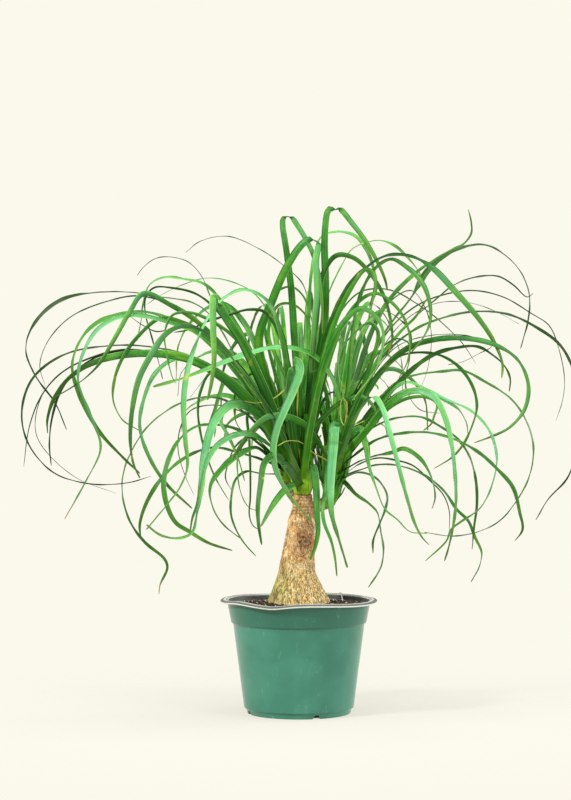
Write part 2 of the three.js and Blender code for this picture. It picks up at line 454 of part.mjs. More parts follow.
// A steep leaf starts higher in its head than a low one, a little to its own side
function baseOf(head, towards) {
  const way = towards.clone().sub(HEADS[head]);
  const flat = Math.hypot(way.x, way.y);
  const steep = Math.atan2(way.z, flat) / (Math.PI / 2);
  const lift = 3 + 36 * Math.max(0, steep) ** 2;
  return HEADS[head].clone().add(new THREE.Vector3((2 * way.x) / flat, (2 * way.y) / flat, lift));
}

// Evenly spaced stations along a middle line: place, way ahead and flat side's direction
function stationsAlong(points) {
  const dense = new THREE.CatmullRomCurve3(points).getPoints(12 * (points.length - 1));
  const run = [0];
  for (let i = 1; i < dense.length; i++) {
    run.push(run[i - 1] + dense[i].distanceTo(dense[i - 1]));
  }
  const length = run[run.length - 1];
  const places = [];
  for (let i = 0, k = 0; i < STATIONS; i++) {
    const goal = (length * i) / (STATIONS - 1);
    while (k + 2 < run.length && run[k + 1] < goal) {
      k++;
    }
    places.push(dense[k].clone().lerp(dense[k + 1], (goal - run[k]) / (run[k + 1] - run[k])));
  }
  const base = points[0];
  const farthest = points.reduce((a, b) => (
    Math.hypot(b.x - base.x, b.y - base.y) > Math.hypot(a.x - base.x, a.y - base.y) ? b : a));
  let side = new THREE.Vector3(base.y - farthest.y, farthest.x - base.x, 0);
  return places.map((place, i) => {
    const before = places[Math.max(0, i - 1)];
    const after = places[Math.min(STATIONS - 1, i + 1)];
    const ahead = after.clone().sub(before).normalize();
    side = side.clone().projectOnPlane(ahead).normalize();
    return { place, ahead, side, share: i / (STATIONS - 1) };
  });
}

// How far a blade would turn about its middle line, at each station, to lie square to the front. Either
// face may be to the front, so the turns follow each other by the nearest half turn.
function turnsToFront(stations) {
  const turns = stations.map(({ ahead, side }) => {
    const front = new THREE.Vector3(0, -1, 0).projectOnPlane(ahead);
    const upper = ahead.clone().cross(side);
    return THREE.MathUtils.radToDeg(Math.atan2(-front.dot(side), front.dot(upper)));
  });
  for (let i = 1; i < STATIONS; i++) {
    turns[i] -= 180 * Math.round((turns[i] - turns[i - 1]) / 180);
  }
  const over = 180 * Math.round(turns[FACING_STATION] / 180);
  return turns.map((turn) => turn - over);
}

// The value at a share of the way along a row of evenly spaced values
function between(values, share) {
  const at = share * (values.length - 1);
  const before = Math.min(Math.floor(at), values.length - 2);
  return lerp(values[before], values[before + 1], at - before);
}

function blade(points, width, turns, fold) {
  const stations = stationsAlong(points);
  const squares = turnsToFront(stations);
  const square = squares[FACING_STATION];
  const hand = Math.sign(square);
  const twist = TWIST * (2 * chance() - 1);
  stations.forEach((station, i) => {
    const { place, ahead, side, share } = station;
    const rest = turns
      ? squares[i] - hand * (90 - between(turns, share))
      : FACING * square * smoothstep(share, 0, 0.35) + twist * share;
    const closed = fold ? 90 * hand * bell(share, fold, FOLD_SPREAD) : 0;
    station.side = side.clone().applyAxisAngle(ahead, radians(rest - closed));
    const neck = 1 - BASE_NARROWING * (1 - smoothstep(share, 0, 0.15));
    const half = (width / 2) * neck * lerp(TIP_SHARE, 1, (1 - share) ** TAPER);
    const under = station.side.clone().cross(ahead);
    station.corners = [
      place.clone().addScaledVector(station.side, half),
      place.clone().addScaledVector(station.side, -half),
      place.clone().addScaledVector(under, lerp(KEEL_BASE, KEEL_TIP, share)),
    ];
  });
  return toSolid(skin(straightened(stations.map(({ corners }) => corners))));
}

// Only the rings that the blade's shape needs, so that no edge leaves its line by more than the chord error
function straightened(rings) {
  const [first, last] = [rings[0], rings[rings.length - 1]];
  let worst = 0;
  let at = 0;
  first.forEach((start, corner) => {
    const chord = new THREE.Line3(start, last[corner]);
    rings.forEach((ring, i) => {
      const nearest = chord.closestPointToPoint(ring[corner], true, new THREE.Vector3());
      const error = ring[corner].distanceTo(nearest);
      if (error > worst) {
        [worst, at] = [error, i];
      }
    });
  });
  if (worst <= CHORD_ERROR) {
    return [first, last];
  }
  return [...straightened(rings.slice(0, at + 1)).slice(0, -1), ...straightened(rings.slice(at))];
}

// A leaf of the back: it rises from its head, arches over at its apex and hangs to its tip
function backLine(head, azimuth, apex, reach, tipDrop) {
  const foot = HEADS[head];
  const [cos, sin] = [Math.cos(radians(azimuth)), Math.sin(radians(azimuth))];
  const at = (share, z) => new THREE.Vector3(
    foot.x + reach * share * cos, foot.y + reach * share * sin, z);
  const rise = apex - foot.z;
  const points = [
    at(0.14, foot.z + 0.45 * rise), at(0.36, foot.z + 0.86 * rise), at(0.58, apex),
    at(0.82, apex - 0.16 * tipDrop), at(0.97, apex - 0.5 * tipDrop), at(1, apex - tipDrop),
  ];
  return [baseOf(head, points[0]), ...points];
}

function backLeaves() {
  const blades = [];
  const heads = Object.keys(BACK_FANS);
  for (const { count, apex, reach, tipDrop, width } of BACK_LAYERS) {
    for (let i = 0; i < count; i++) {
      const head = heads[i % heads.length];
      const azimuth = drawn(BACK_FANS[head]);
      const line = backLine(head, azimuth, drawn(apex), drawn(reach), drawn(tipDrop));
      blades.push(blade(line, drawn(width)));
    }
  }
  return blades;
}

function youngLeaves() {
  const blades = [];
  for (const head of Object.keys(HEADS)) {
    for (let i = 0; i < YOUNG_LEAVES; i++) {
      const azimuth = (360 * (i + chance())) / YOUNG_LEAVES;
      blades.push(blade(backLine(head, azimuth, HEADS[head].z + drawn([85, 125]), drawn([30, 60]),
        drawn([4, 20])), drawn([5, 8])));
    }
  }
  return blades;
}

function cores() {
  return Object.values(HEADS).map((foot) => toSolid(skin(CORE.map(([height, radius]) => (
    Array.from({ length: CORE_SIDES }, (_, j) => {
      const angle = (j / CORE_SIDES) * 2 * Math.PI;
      return new THREE.Vector3(
        foot.x + radius * Math.cos(angle), foot.y + radius * Math.sin(angle), foot.z + height);
    }))))));
}

function crownGeometry() {
  const front = FRONT_LEAVES.map(([head, width, depth, outline, turns, fold]) => (
    blade(middleLine(head, depth, outline), width, turns, fold)));
  const all = [...cores(), ...front, ...backLeaves(), ...youngLeaves()];
  return toGeometry(mainBody(wasm.Manifold.union(all)));
}

// The plant in its pot
const plant = new THREE.Group();

function addPiece(name, geometry, color, roughness) {
  const piece = new THREE.Mesh(geometry, new THREE.MeshStandardMaterial({ color, roughness, metalness: 0 }));
  piece.name = name;
  plant.add(piece);
}

addPiece('pot', potGeometry(), 0x4a8c72, 0.35);
addPiece('soil', soilGeometry(), 0x3a2a20, 0.95);
addPiece('trunk', stemGeometry(), 0xa48a66, 0.85);
addPiece('crown', crownGeometry(), 0x4c8a38, 0.5);

export default plant;
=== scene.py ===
import json
import math

import bpy
import numpy as np
from mathutils import Matrix, Vector, noise

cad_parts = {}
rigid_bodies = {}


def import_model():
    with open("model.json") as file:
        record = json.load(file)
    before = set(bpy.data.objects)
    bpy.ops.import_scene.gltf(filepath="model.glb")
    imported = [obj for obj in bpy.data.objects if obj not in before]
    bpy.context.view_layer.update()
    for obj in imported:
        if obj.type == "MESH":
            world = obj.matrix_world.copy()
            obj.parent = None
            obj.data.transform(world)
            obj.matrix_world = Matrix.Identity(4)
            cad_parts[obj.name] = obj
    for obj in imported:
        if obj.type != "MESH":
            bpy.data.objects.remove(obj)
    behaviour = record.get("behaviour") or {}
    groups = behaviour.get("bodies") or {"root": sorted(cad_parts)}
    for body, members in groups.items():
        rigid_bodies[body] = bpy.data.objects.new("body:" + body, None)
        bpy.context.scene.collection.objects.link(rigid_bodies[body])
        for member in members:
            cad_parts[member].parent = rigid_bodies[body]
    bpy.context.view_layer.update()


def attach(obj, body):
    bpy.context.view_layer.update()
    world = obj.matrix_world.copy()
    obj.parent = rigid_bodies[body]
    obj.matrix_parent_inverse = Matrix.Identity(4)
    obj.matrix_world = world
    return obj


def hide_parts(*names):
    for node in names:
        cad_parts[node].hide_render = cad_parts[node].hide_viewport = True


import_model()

# Potted ponytail palm. Sizes are in millimetres until a mesh is made, with the origin on the pot's axis
# at the surface it stands on. The plant's front looks towards -Y.
MM = 0.001

# Pot
POT_HEIGHT = 119.4
RIM_RADIUS = 82.6
FOOT_RADIUS = 54.2
WALL = 1.3
FLOOR_TOP = 1.6
BAND_FOOT = 94
NOTCH_RADIUS = 4.2
NOTCH_COUNT = 4
NOTCH_AZIMUTH = 19.5
NOTCH_SIDES = 24
NOTCH_REACH = 7  # half the length of the hollow that makes a notch
POT_SIDES = 288

# Soil
SOIL_LEVEL = 113.5
SOIL_SIDES = 256
CLEARANCE = 0.35
BIT_COUNT = 1500
BIT_SPREAD = (36.5, 69)
BIT_LIMIT = 70

# Stem: height, centre across, radius
STEM_SIDES = 200
STEM_FOOT, STEM_TOP = 72, 229
STEM = [
    [72, -0.5, 9], [76, -0.5, 21], [84, -0.5, 31], [96, -0.5, 36.4], [106, -0.5, 36], [113.8, -0.5, 34.3],
    [119.5, -0.7, 31.8], [125.8, -0.9, 28.9], [136.5, -1.5, 24.1], [147.4, -2.2, 20], [157.9, -1.5, 18.5],
    [168.4, -0.5, 17.3], [179.3, 1, 16.2], [190.5, 2.1, 15.3], [201, 2.6, 14.2], [211.5, 4, 11.8],
    [222, 4.7, 10.3], [229, 4.4, 9.6],
]
SIDE_STEM_RADIUS = 6.8
SIDE_STEMS = {
    "L": [(4, 0, 214), (-3, 7, 225), (-9, 12, 234), (-10, 13, 241.7)],
    "R": [(4, 0, 212), (18, 0.5, 216), (31, 1, 222), (35.5, 1, 230), (36, 1, 237.7)],
}

# Leaf heads: the foot of each core
HEADS = {"L": (-10, 13, 242), "C": (4, -4, 229.3), "R": (36, 1, 238)}
HEAD_NAMES = {"L": "left", "C": "middle", "R": "right"}
CORE = [[0, 7.5], [12, 11], [30, 9], [46, 4]]

# Blades
TAPER = 0.5
TIP_SHARE = 0.1
TWIST = 25
FACING = 0.75
FOLD_SPREAD = 0.012  # share of its length over which a folded leaf turns edge-on
STATIONS = 120
FACING_STATION = 71
DEPTH_POWER = 2.2
EYE = (-14, -2350, 328)
CLASP_WIDTH = 13  # how wide a blade is at least where it clasps its head
CLASP_SHARE = 0.07  # of its length
THICKNESS = 0.5
CHANNEL = 0.12  # depth of a blade's channel against its half width
YELLOW_WIDTH = 4  # old blades in front, no wider than this, have turned yellow
YELLOW_DEPTH = -60

# Leaves seen from the front. Each row: head, width, depth of the tip (+Y is to the back), then the
# middle line as X and Z pairs in the plane through the pot's axis, starting after the base. Where the
# leaf doesn't just face the front by rule, its turns follow, at even steps from its base to its tip, in
# degrees: at 0 it is seen edge-on from the front, and at 90 flat. Last comes, where a leaf is folded
# over, the share of its length at which the fold is.
FRONT_LEAVES = [
    # left of the stem, outermost and uppermost first
    ["L", 7.8, 60, [-45, 330, -100, 424, -147, 437, -193, 442, -248, 434, -276, 411, -287, 383, -277, 354,
        -256, 325, -244, 297], [10, 10, 10, 12, 12, 12, 12, 80, 20, 45, 50]],
    ["L", 2.6, 110, [-50, 335, -110, 415, -165, 437, -200, 432, -240, 415, -264, 389, -272, 364, -266,
        342]],
    ["L", 9, -90, [-40, 330, -104, 408, -135, 428, -163, 440, -178, 420, -195, 390, -212, 363, -230, 347,
        -256, 331], [60] * 5 + [50, 60, 70, 75, 20, 20]],
    ["L", 3, 40, [-50, 325, -110, 365, -180, 381, -222, 371, -250, 356, -270, 333, -283, 300, -289, 258]],
    ["L", 1.6, 130, [-50, 330, -120, 372, -190, 378, -240, 363, -268, 336, -277, 300, -270, 280, -235, 247,
        -192, 230]],
    ["L", 4, -40, [-45, 315, -95, 366, -150, 383, -200, 385, -248, 375, -280, 350, -291, 315, -284, 282,
        -258, 252, -220, 240, -180, 241, -155, 248], [30] * 5 + [35, 90, 55, 40, 50, 60]],
    ["C", 12, -70, [-30, 300, -70, 345, -115, 371, -165, 377, -208, 370, -238, 354, -256, 332, -264, 308,
        -264, 293], [60, 65, 70] + [80] * 5 + [40, 50, 40]],
    ["L", 6, 20, [-45, 320, -95, 364, -150, 379, -205, 376, -232, 360, -249, 340, -259, 310, -262, 282,
        -260, 259], [20] * 6 + [25, 40, 80, 40, 60]],
    ["L", 10, -60, [-45, 330, -100, 394, -140, 415, -168, 421, -205, 413, -226, 396, -238, 366, -232, 338,
        -211, 297, -187, 270, -167, 251], [50, 50, 50, 50, 45, 18, 45, 22, 90, 65, 60]],
    ["C", 7, -100, [-40, 330, -95, 392, -140, 411, -178, 417, -207, 406, -224, 383, -232, 350, -218, 310,
        -208, 278, -222, 246, -246, 203], [60] * 6 + [70, 40, 60, 30, 60]],
    ["L", 6, 30, [-35, 340, -70, 400, -93, 437, -100, 455, -113, 471, -130, 478, -150, 477, -163, 468, -170,
        459], [30, 0]],
    ["C", 2.2, 150, [10, 340, 12, 400, 5, 448, -12, 466, -42, 487, -75, 500, -103, 495, -119, 483]],
    ["C", 2.2, 120, [-8, 340, -22, 400, -45, 438, -70, 452, -97, 456, -122, 449, -145, 438, -160, 428]],
    ["C", 10, -160, [-8, 330, -18, 395, -34, 433, -58, 444, -80, 434, -97, 412, -107, 390, -117, 358, -121,
        325, -119, 285, -117, 258, -125, 236, -142, 214, -160, 192], [60, 60, 60, 50, 28, 25, 22, 85, 70,
        20, 40]],
    ["C", 6, -50, [-5, 340, -20, 395, -35, 420, -52, 423, -75, 417, -97, 410, -115, 402, -131, 399]],
    ["L", 6, -100, [-30, 330, -62, 388, -90, 410, -115, 420, -133, 417, -141, 398, -139, 378, -133, 352,
        -129, 345]],
    ["L", 4, -30, [-38, 340, -80, 415, -107, 439, -135, 446, -152, 446, -161, 436, -161, 418, -155, 396,
        -149, 374, -143, 350]],
    ["L", 6, 70, [-35, 345, -70, 415, -98, 449, -120, 455, -140, 457, -156, 450, -163, 432, -166, 410, -170,
        390]],
    ["L", 7, -70, [-42, 320, -85, 385, -115, 407, -145, 414, -165, 399, -183, 376, -193, 352, -195, 328,
        -186, 308, -168, 296], [30, 30, 30, 40, 40, 45, 55, 70, 70, 30, 30]],
    ["L", 3, 50, [-40, 325, -85, 388, -112, 404, -135, 402, -150, 400, -163, 406, -179, 417]],
    ["C", 11, -180, [-30, 315, -75, 378, -100, 400, -120, 406, -139, 398, -156, 374, -168, 350, -175, 318,
        -177, 285, -174, 262, -167, 246], [40, 35, 30, 22, 15, 12, 35, 70, 80, 50, 40]],
    ["L", 9, -50, [-40, 305, -85, 352, -128, 371, -150, 357, -163, 328, -167, 300, -158, 270, -140, 241,
        -112, 214], [33, 33, 33, 33, 40, 46, 48, 40, 60, 90, 90]],
    ["R", 14, -80, [44, 300, 38, 345, 16, 375, -20, 384, -60, 375, -98, 360, -128, 349, -153, 342], [40, 35,
        30, 28, 27, 27, 30, 40, 45, 25, 85]],
    ["L", 12.5, -170, [-25, 310, -48, 365, -62, 393, -77, 415, -84, 429, -87, 436, -89, 438, -90, 433, -90,
        405, -89, 372, -92, 345, -96, 328], [85, 85], 0.69],
    ["L", 2, 140, [-40, 330, -75, 368, -93, 358, -104, 344, -114, 331]],
    ["L", 5, 60, [-40, 325, -75, 352, -92, 357, -103, 338, -106, 318, -103, 292, -97, 270, -88, 247, -74,
        223]],
    ["L", 12, -150, [-25, 290, -48, 318, -68, 324, -84, 313, -93, 295, -100, 265, -102, 240, -107, 210,
        -112, 189, -125, 183, -145, 186, -160, 197], [70, 70, 75, 80, 85, 85, 80, 75, 25, 30, 40]],
    ["L", 9, -170, [-25, 275, -48, 292, -68, 291, -86, 280, -97, 262, -102, 240, -107, 218, -112, 203, -114,
        190]],
    ["L", 11, -60, [-25, 262, -45, 278, -63, 271, -80, 257, -92, 240, -93, 224, -86, 206, -75, 193, -62,
        183], [25, 20, 18, 20, 50, 55, 44, 20, 15, 18, 30]],
    ["L", 4, -40, [-22, 250, -40, 251, -55, 253, -66, 245, -71, 226, -71, 207, -65, 190, -56, 176, -45,
        164]],
    ["C", 10, -200, [-12, 258, -26, 270, -36, 262, -40, 240, -43, 215, -42, 195, -39, 176], [80, 80], 0.38],
    ["L", 4, 60, [-25, 290, -42, 318, -53, 315, -52, 285, -51, 255, -51, 225, -52, 207, -48, 196, -40,
        191]],
    ["L", 6.5, -80, [-28, 285, -52, 318, -72, 322, -82, 307, -74, 290, -65, 270, -60, 254, -57, 243], [40,
        40, 40, 45, 55, 85, 85, 80, 70, 40, 40]],
    ["L", 2.4, -30, [-25, 275, -50, 288, -63, 272, -64, 248, -60, 228, -52, 215, -41, 211]],
    ["L", 8, -30, [-28, 285, -55, 313, -78, 328, -103, 331, -132, 321, -158, 301, -178, 270, -186, 238,
        -178, 202, -162, 179, -141, 161, -138, 152, -146, 133, -147, 124], [15] * 7 + [20, 50, 90, 40]],
    ["L", 8.5, -60, [-30, 262, -60, 272, -90, 278, -117, 269, -143, 247, -160, 220, -167, 197, -166, 183],
        [15, 15, 15, 15, 18, 28, 35, 45, 90, 90, 60]],
    ["L", 9, -80, [-30, 272, -60, 295, -85, 302, -108, 300, -126, 286, -138, 262, -142, 240, -138, 216,
        -129, 199, -115, 190, -95, 178, -70, 170], [20] * 9 + [17, 34, 45, 58, 78, 85, 80, 82, 85, 85, 70,
        50]],
    ["L", 2, 100, [-35, 300, -80, 322, -112, 318, -123, 303, -127, 278, -120, 250, -110, 228]],
    ["L", 3, 40, [-28, 272, -50, 290, -66, 280, -74, 262, -77, 246, -70, 232]],
    ["L", 7, 20, [-30, 300, -60, 345, -76, 350, -83, 335, -88, 318, -95, 298, -98, 275]],
    ["L", 5, -20, [-28, 290, -52, 330, -65, 338, -68, 322, -66, 305, -60, 295]],
    ["L", 11, -60, [-28, 330, -42, 390, -28, 432, -13, 467, 4, 492, 13, 497, 20, 493, 18, 476, 19, 440, 16,
        408, 14, 375, 14, 357, 24, 363, 31, 386], [80, 80], 0.6],
    ["L", 5, -10, [-20, 335, -36, 415, -24, 441, -8, 447, 4, 438, 12, 418, 16, 397]],
    # over and in front of the stem
    ["C", 10, -45, [-4, 240, -15, 233, -27, 218, -40, 195]],
    ["C", 12, -130, [-6, 300, -8, 350, -3, 369, 1, 362, -6, 338, -15, 318, -23, 298, -27, 276, -24, 254,
        -15, 236, -4, 220, 14, 200], [85] * 16 + [70, 50, 40, 32, 30], 0.435],
    ["C", 10, -50, [9, 258, 14, 260, 18, 238, 19, 212, 20, 188, 17, 173, 12, 160]],
    ["C", 9.5, -40, [0, 330, -5, 400, -8, 445, -13, 485, -17, 513, -16, 519, -12, 521, -7, 519, -2, 512, 10,
        492, 18, 472, 23, 445, 25, 418, 25, 398], [85, 85], 0.668],
    ["C", 11, -10, [14, 330, 26, 400, 28, 450, 27, 490, 28, 512, 30, 525, 33, 529, 37, 528, 42, 529, 46,
        526, 54, 516, 70, 495, 83, 472, 91, 453, 93, 443], [85, 85], 0.725],
    ["C", 9, 60, [8, 340, 10, 420, 16, 480, 24, 500, 42, 505, 60, 500, 71, 486, 78, 468, 80, 448, 74, 425],
        [60, 60, 60, 60, 50, 40, 25, 19, 75, 80, 80]],
    ["C", 8, -40, [10, 330, 17, 400, 26, 462, 40, 480, 58, 477, 74, 462, 88, 440, 96, 414, 98, 392, 94,
        376]],
    ["C", 7.5, 50, [14, 330, 28, 430, 44, 468, 55, 486, 66, 492, 84, 496, 101, 490, 114, 478, 126, 463, 132,
        448], [15] * 16 + [22, 85, 70, 30, 40]],
    ["C", 12, -30, [16, 320, 32, 400, 52, 445, 73, 469, 93, 480, 118, 479, 140, 467, 165, 441, 190, 412,
        206, 387, 214, 365, 213, 351], [20, 22, 26, 32, 40, 48, 55, 55, 55, 55, 20, 16, 20, 22, 65, 85, 85,
        75, 60, 50, 50]],
    ["C", 9, -90, [14, 315, 34, 400, 55, 446, 70, 465, 78, 462, 81, 445, 77, 430, 73, 412]],
    ["C", 2.5, 60, [14, 320, 38, 410, 62, 440, 82, 445, 101, 442, 121, 431, 141, 417, 159, 401, 173, 386,
        186, 366]],
    ["C", 9, -190, [12, 300, 30, 375, 46, 408, 64, 424, 79, 418, 88, 402, 88, 383, 83, 365, 73, 349, 56,
        327]],
    ["C", 2, -80, [-2, 300, -3, 350, -8, 352, -16, 338, -30, 328, -45, 325, -57, 327]],
    ["C", 8, -60, [6, 265, 12, 290, 24, 308, 38, 321, 52, 329, 66, 332, 78, 322, 84, 305]],
    ["C", 6, -50, [14, 300, 45, 405, 66, 434, 82, 440, 98, 430, 111, 413, 117, 390, 114, 368, 105, 351]],
    ["C", 6, 30, [-10, 340, -32, 398, -22, 427, -8, 429, 5, 420, 13, 405]],
    # right of the stem, uppermost first
    ["R", 10, -60, [50, 330, 62, 430, 80, 466, 97, 476, 114, 467, 129, 452, 137, 432, 138, 411, 131, 394,
        118, 378], [30] * 13 + [25, 50, 85, 75, 50, 37, 40, 60]],
    ["R", 8, 40, [55, 335, 80, 408, 97, 436, 122, 461, 142, 475, 161, 486, 173, 492, 181, 503, 181, 515,
        178, 528], [60] * 15 + [30, 35, 60, 30, 50, 60]],
    ["R", 9.5, 20, [55, 330, 92, 402, 118, 436, 136, 465, 157, 482, 178, 490, 196, 491, 213, 483, 231, 466,
        242, 440, 241, 413, 233, 382], [15] * 9 + [10, 75, 60, 35, 30, 22, 15, 12, 20, 30, 35, 40]],
    ["R", 4.5, 50, [55, 325, 100, 392, 126, 419, 143, 433, 163, 449, 185, 457, 209, 458, 225, 449, 240, 436,
        246, 440], [30] * 5 + [25, 25, 28, 40, 90, 90]],
    ["R", 2.2, 100, [58, 325, 92, 398, 122, 426, 150, 438, 183, 443, 215, 436, 244, 419, 263, 406, 273, 382,
        279, 350, 277, 328, 270, 306]],
    ["R", 5, -30, [60, 318, 88, 373, 120, 401, 150, 414, 185, 421, 220, 418, 250, 404, 275, 385, 291, 352,
        297, 316, 293, 278, 282, 246, 262, 224, 249, 202], [35] * 6 + [80, 50, 55, 70, 60]],
    ["R", 8.5, -40, [58, 310, 84, 355, 112, 381, 140, 391, 172, 393, 206, 386, 230, 370, 241, 344, 237, 318,
        221, 299, 203, 290, 184, 283], [60] * 5 + [65, 65, 20, 80, 50, 60]],
    ["R", 10, -20, [55, 290, 92, 332, 120, 361, 142, 376, 166, 383, 188, 384, 204, 375, 216, 364, 222, 350,
        221, 337], [40, 45, 46, 46, 46, 46, 40, 32, 25, 17, 40]],
    ["R", 6.5, -60, [58, 310, 84, 356, 106, 374, 128, 378, 151, 374, 170, 361, 183, 341, 187, 321, 182, 301,
        173, 282, 161, 268, 142, 256], [25] * 5 + [27, 45, 60, 22, 90, 40]],
    ["R", 6.5, -10, [55, 290, 85, 330, 105, 348, 125, 355, 150, 358, 172, 359, 196, 347, 221, 331, 237, 310,
        246, 283, 244, 254, 232, 227, 212, 202, 190, 190, 160, 185, 132, 189], [30, 30, 28, 22, 38, 27, 30,
        25, 25, 22, 30]],
    ["R", 6, -50, [52, 280, 80, 315, 100, 340, 114, 347, 131, 341, 155, 329, 182, 316, 200, 296, 208, 268,
        204, 242, 191, 215, 170, 200, 160, 192, 155, 180, 133, 159], [35, 35, 35, 40, 30, 35, 55, 25, 30,
        80, 60]],
    ["R", 9, -170, [50, 272, 72, 297, 93, 322, 109, 334, 126, 338, 143, 330, 154, 309, 160, 284, 164, 252,
        165, 220, 162, 195, 157, 172, 153, 159], [60, 60, 60, 60, 50, 90, 75, 55, 50, 50, 60]],
    ["R", 6, -70, [50, 268, 74, 298, 95, 320, 115, 330, 134, 331, 145, 324, 142, 311, 139, 303, 131, 296]],
    ["R", 8, 30, [52, 275, 84, 318, 110, 337, 135, 337, 155, 327, 169, 317, 176, 304, 178, 291], [40] * 6 +
        [45, 50, 65, 25, 20]],
    ["R", 6, -40, [50, 272, 68, 292, 87, 304, 107, 310, 129, 310, 149, 300, 167, 287, 180, 267, 186, 243,
        187, 218, 184, 194, 182, 171], [15, 15, 15, 20, 25, 40, 40, 38, 90, 90, 60]],
    ["R", 8.5, -60, [48, 262, 62, 273, 83, 287, 107, 293, 136, 294, 163, 287, 189, 273, 209, 255, 225, 236,
        232, 210, 235, 192, 227, 180], [15, 15, 18, 20, 20, 23, 35, 50, 80, 80, 50]],
    ["R", 8, -70, [50, 256, 64, 264, 82, 270, 98, 273, 110, 277, 126, 268, 136, 254, 142, 237, 143, 224,
        140, 214], [5, 5, 5, 8, 12, 45, 70, 55, 35, 25, 40]],
    ["R", 2.6, 50, [50, 252, 62, 260, 82, 267, 101, 265, 120, 259, 137, 244, 152, 228, 158, 211, 158, 191]],
    ["R", 6, -30, [50, 250, 62, 254, 82, 260, 106, 259, 132, 249, 152, 233, 166, 213, 178, 201, 185, 184,
        192, 168, 190, 154, 181, 137], [12, 12, 14, 16, 23, 35, 45, 70, 90, 30, 40]],
    ["R", 9, -200, [48, 280, 62, 315, 78, 332, 87, 321, 96, 292, 106, 254, 114, 224, 122, 198, 130, 183,
        137, 176]],
    ["R", 8, -90, [46, 268, 56, 292, 65, 298, 70, 280, 74, 258, 82, 234, 91, 213, 103, 203, 117, 190, 135,
        188], [70] * 5 + [60, 30, 20, 20, 20, 20]],
    ["R", 9, -60, [48, 247, 62, 252, 76, 249, 87, 240, 93, 226, 90, 211, 84, 196, 78, 180, 78, 167], [0,
        40]],
    ["R", 6, -30, [46, 243, 60, 229, 74, 219, 83, 209, 86, 191, 89, 170, 86, 152, 73, 131], [70, 60, 50, 30,
        20, 20, 25, 30, 35, 40, 40]],
    ["R", 2.2, -40, [52, 320, 78, 370, 100, 392, 115, 388, 116, 370, 112, 352, 115, 334, 127, 318, 148,
        314]],
    ["R", 2, 80, [55, 340, 90, 425, 118, 443, 133, 424, 139, 400, 138, 375, 133, 353, 129, 343]],
    ["R", 6, -170, [50, 300, 74, 360, 83, 400, 74, 409, 58, 398, 45, 381, 41, 360, 45, 341, 51, 309]],
    ["R", 2, -70, [44, 280, 50, 325, 46, 330, 43, 313, 48, 301, 58, 301, 69, 306]],
    ["R", 6, 10, [55, 310, 85, 372, 107, 400, 123, 416, 133, 432, 138, 438]],
    ["R", 1.4, 130, [58, 320, 100, 400, 130, 424, 152, 431, 180, 430, 207, 421, 231, 408]],
    ["R", 1.6, 90, [60, 320, 100, 382, 140, 396, 180, 395, 203, 385, 190, 377, 172, 368, 157, 365]],
    # from the right head, in front of and across the stem
    ["R", 13, -100, [41, 275, 41, 298, 38, 302, 36, 280, 34, 255, 33, 230, 35, 206, 42, 182, 51, 152], [85]
        * 7 + [60, 35, 30, 40], 0.29],
    ["R", 6, -60, [36, 268, 31, 262, 28, 236, 25, 212, 27, 198, 34, 180, 38, 162, 40, 143]],
    ["R", 2, -60, [30, 264, 16, 272, 1, 284, -12, 285, -22, 280]],
    ["R", 10, -90, [32, 262, 20, 284, 4, 303, -15, 311, -33, 310, -48, 298, -60, 282, -70, 266], [20, 20,
        20, 30, 50, 70] + [80] * 5],
]

# What each front leaf looks like, in the order of its row: m has a painted pale sheen where it falls, g is
# green, d dark green, o thin and darkened to a dark olive by painted shade
LOOKS = ("oomooogodmoommomomgommmmogmmdddgmgdddodggmggmg"
         "mmmdmmmomomggmdoooomdddmmgmdddodmgddooggmoomggm")
# the second value is the share of a painted pale sheen, the third the share of a painted dark olive shade
# on thin blades
LOOK_VALUES = {  # tone, pale, slim
    "m": (0.5, 1.0, 0), "g": (0.55, 0.25, 0), "d": (0.2, 0.05, 0.25), "o": (0.2, 0, 1.0),
}

# Leaves of the back, which arch away from the front in three layers. Angles are in degrees from +X
# towards +Y, and each head fills its own share of the fan.
BACK_LAYERS = [
    {"count": 13, "apex": (395, 465), "reach": (140, 205), "drop": (40, 100), "width": (7, 9)},
    {"count": 13, "apex": (330, 390), "reach": (160, 225), "drop": (35, 75), "width": (7, 10)},
    {"count": 10, "apex": (282, 315), "reach": (110, 175), "drop": (15, 45), "width": (6, 9)},
]
BACK_FANS = {"R": (48, 88), "C": (62, 104), "L": (92, 134)}
YOUNG_LEAVES = 4

CREAM = (0.965, 0.947, 0.839)


class Chance:
    """One seeded sequence of draws from 0 to 1."""

    def __init__(self, seed):
        self.state = seed

    def draw(self):
        self.state = self.state * 16807 % 2147483647
        return (self.state - 1) / 2147483646

    def between(self, span):
        return span[0] + (span[1] - span[0]) * self.draw()


def smoothstep(x, low, high):
    t = np.clip((np.asarray(x, float) - low) / (high - low), 0, 1)
    return t * t * (3 - 2 * t)


def lerp(a, b, t):
    return a + (b - a) * t


def bell(value, middle, spread):
    return np.exp(-(((value - middle) / spread) ** 2))


def unit(v):
    return v / np.linalg.norm(v, axis=-1, keepdims=True)


# Meshes
def new_mesh(name, points, faces):
    """A mesh from points in millimetres."""
    mesh = bpy.data.meshes.new(name)
    mesh.from_pydata((np.asarray(points) * MM).tolist(), [], [list(map(int, f)) for f in faces])
    return mesh


def add_object(name, data):
    added = bpy.data.objects.new(name, data)
    bpy.context.scene.collection.objects.link(added)
    return added


def make_piece(name, points, faces, material, values=None, sharp=None):
    """A mesh piece, with values given to its points by name."""
    mesh = new_mesh(name, points, faces)
    mesh.validate()
    for key, data in (values or {}).items():
        mesh.attributes.new(key, "FLOAT", "POINT").data.foreach_set("value", np.asarray(data, np.float32))
    mesh.shade_smooth()
    if sharp is not None:
        mesh.set_sharp_from_angle(angle=math.radians(sharp))
    piece = add_object(name, mesh)
    for one in material if isinstance(material, list) else [material]:
        mesh.materials.append(one)
    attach(piece, "root")
    return piece


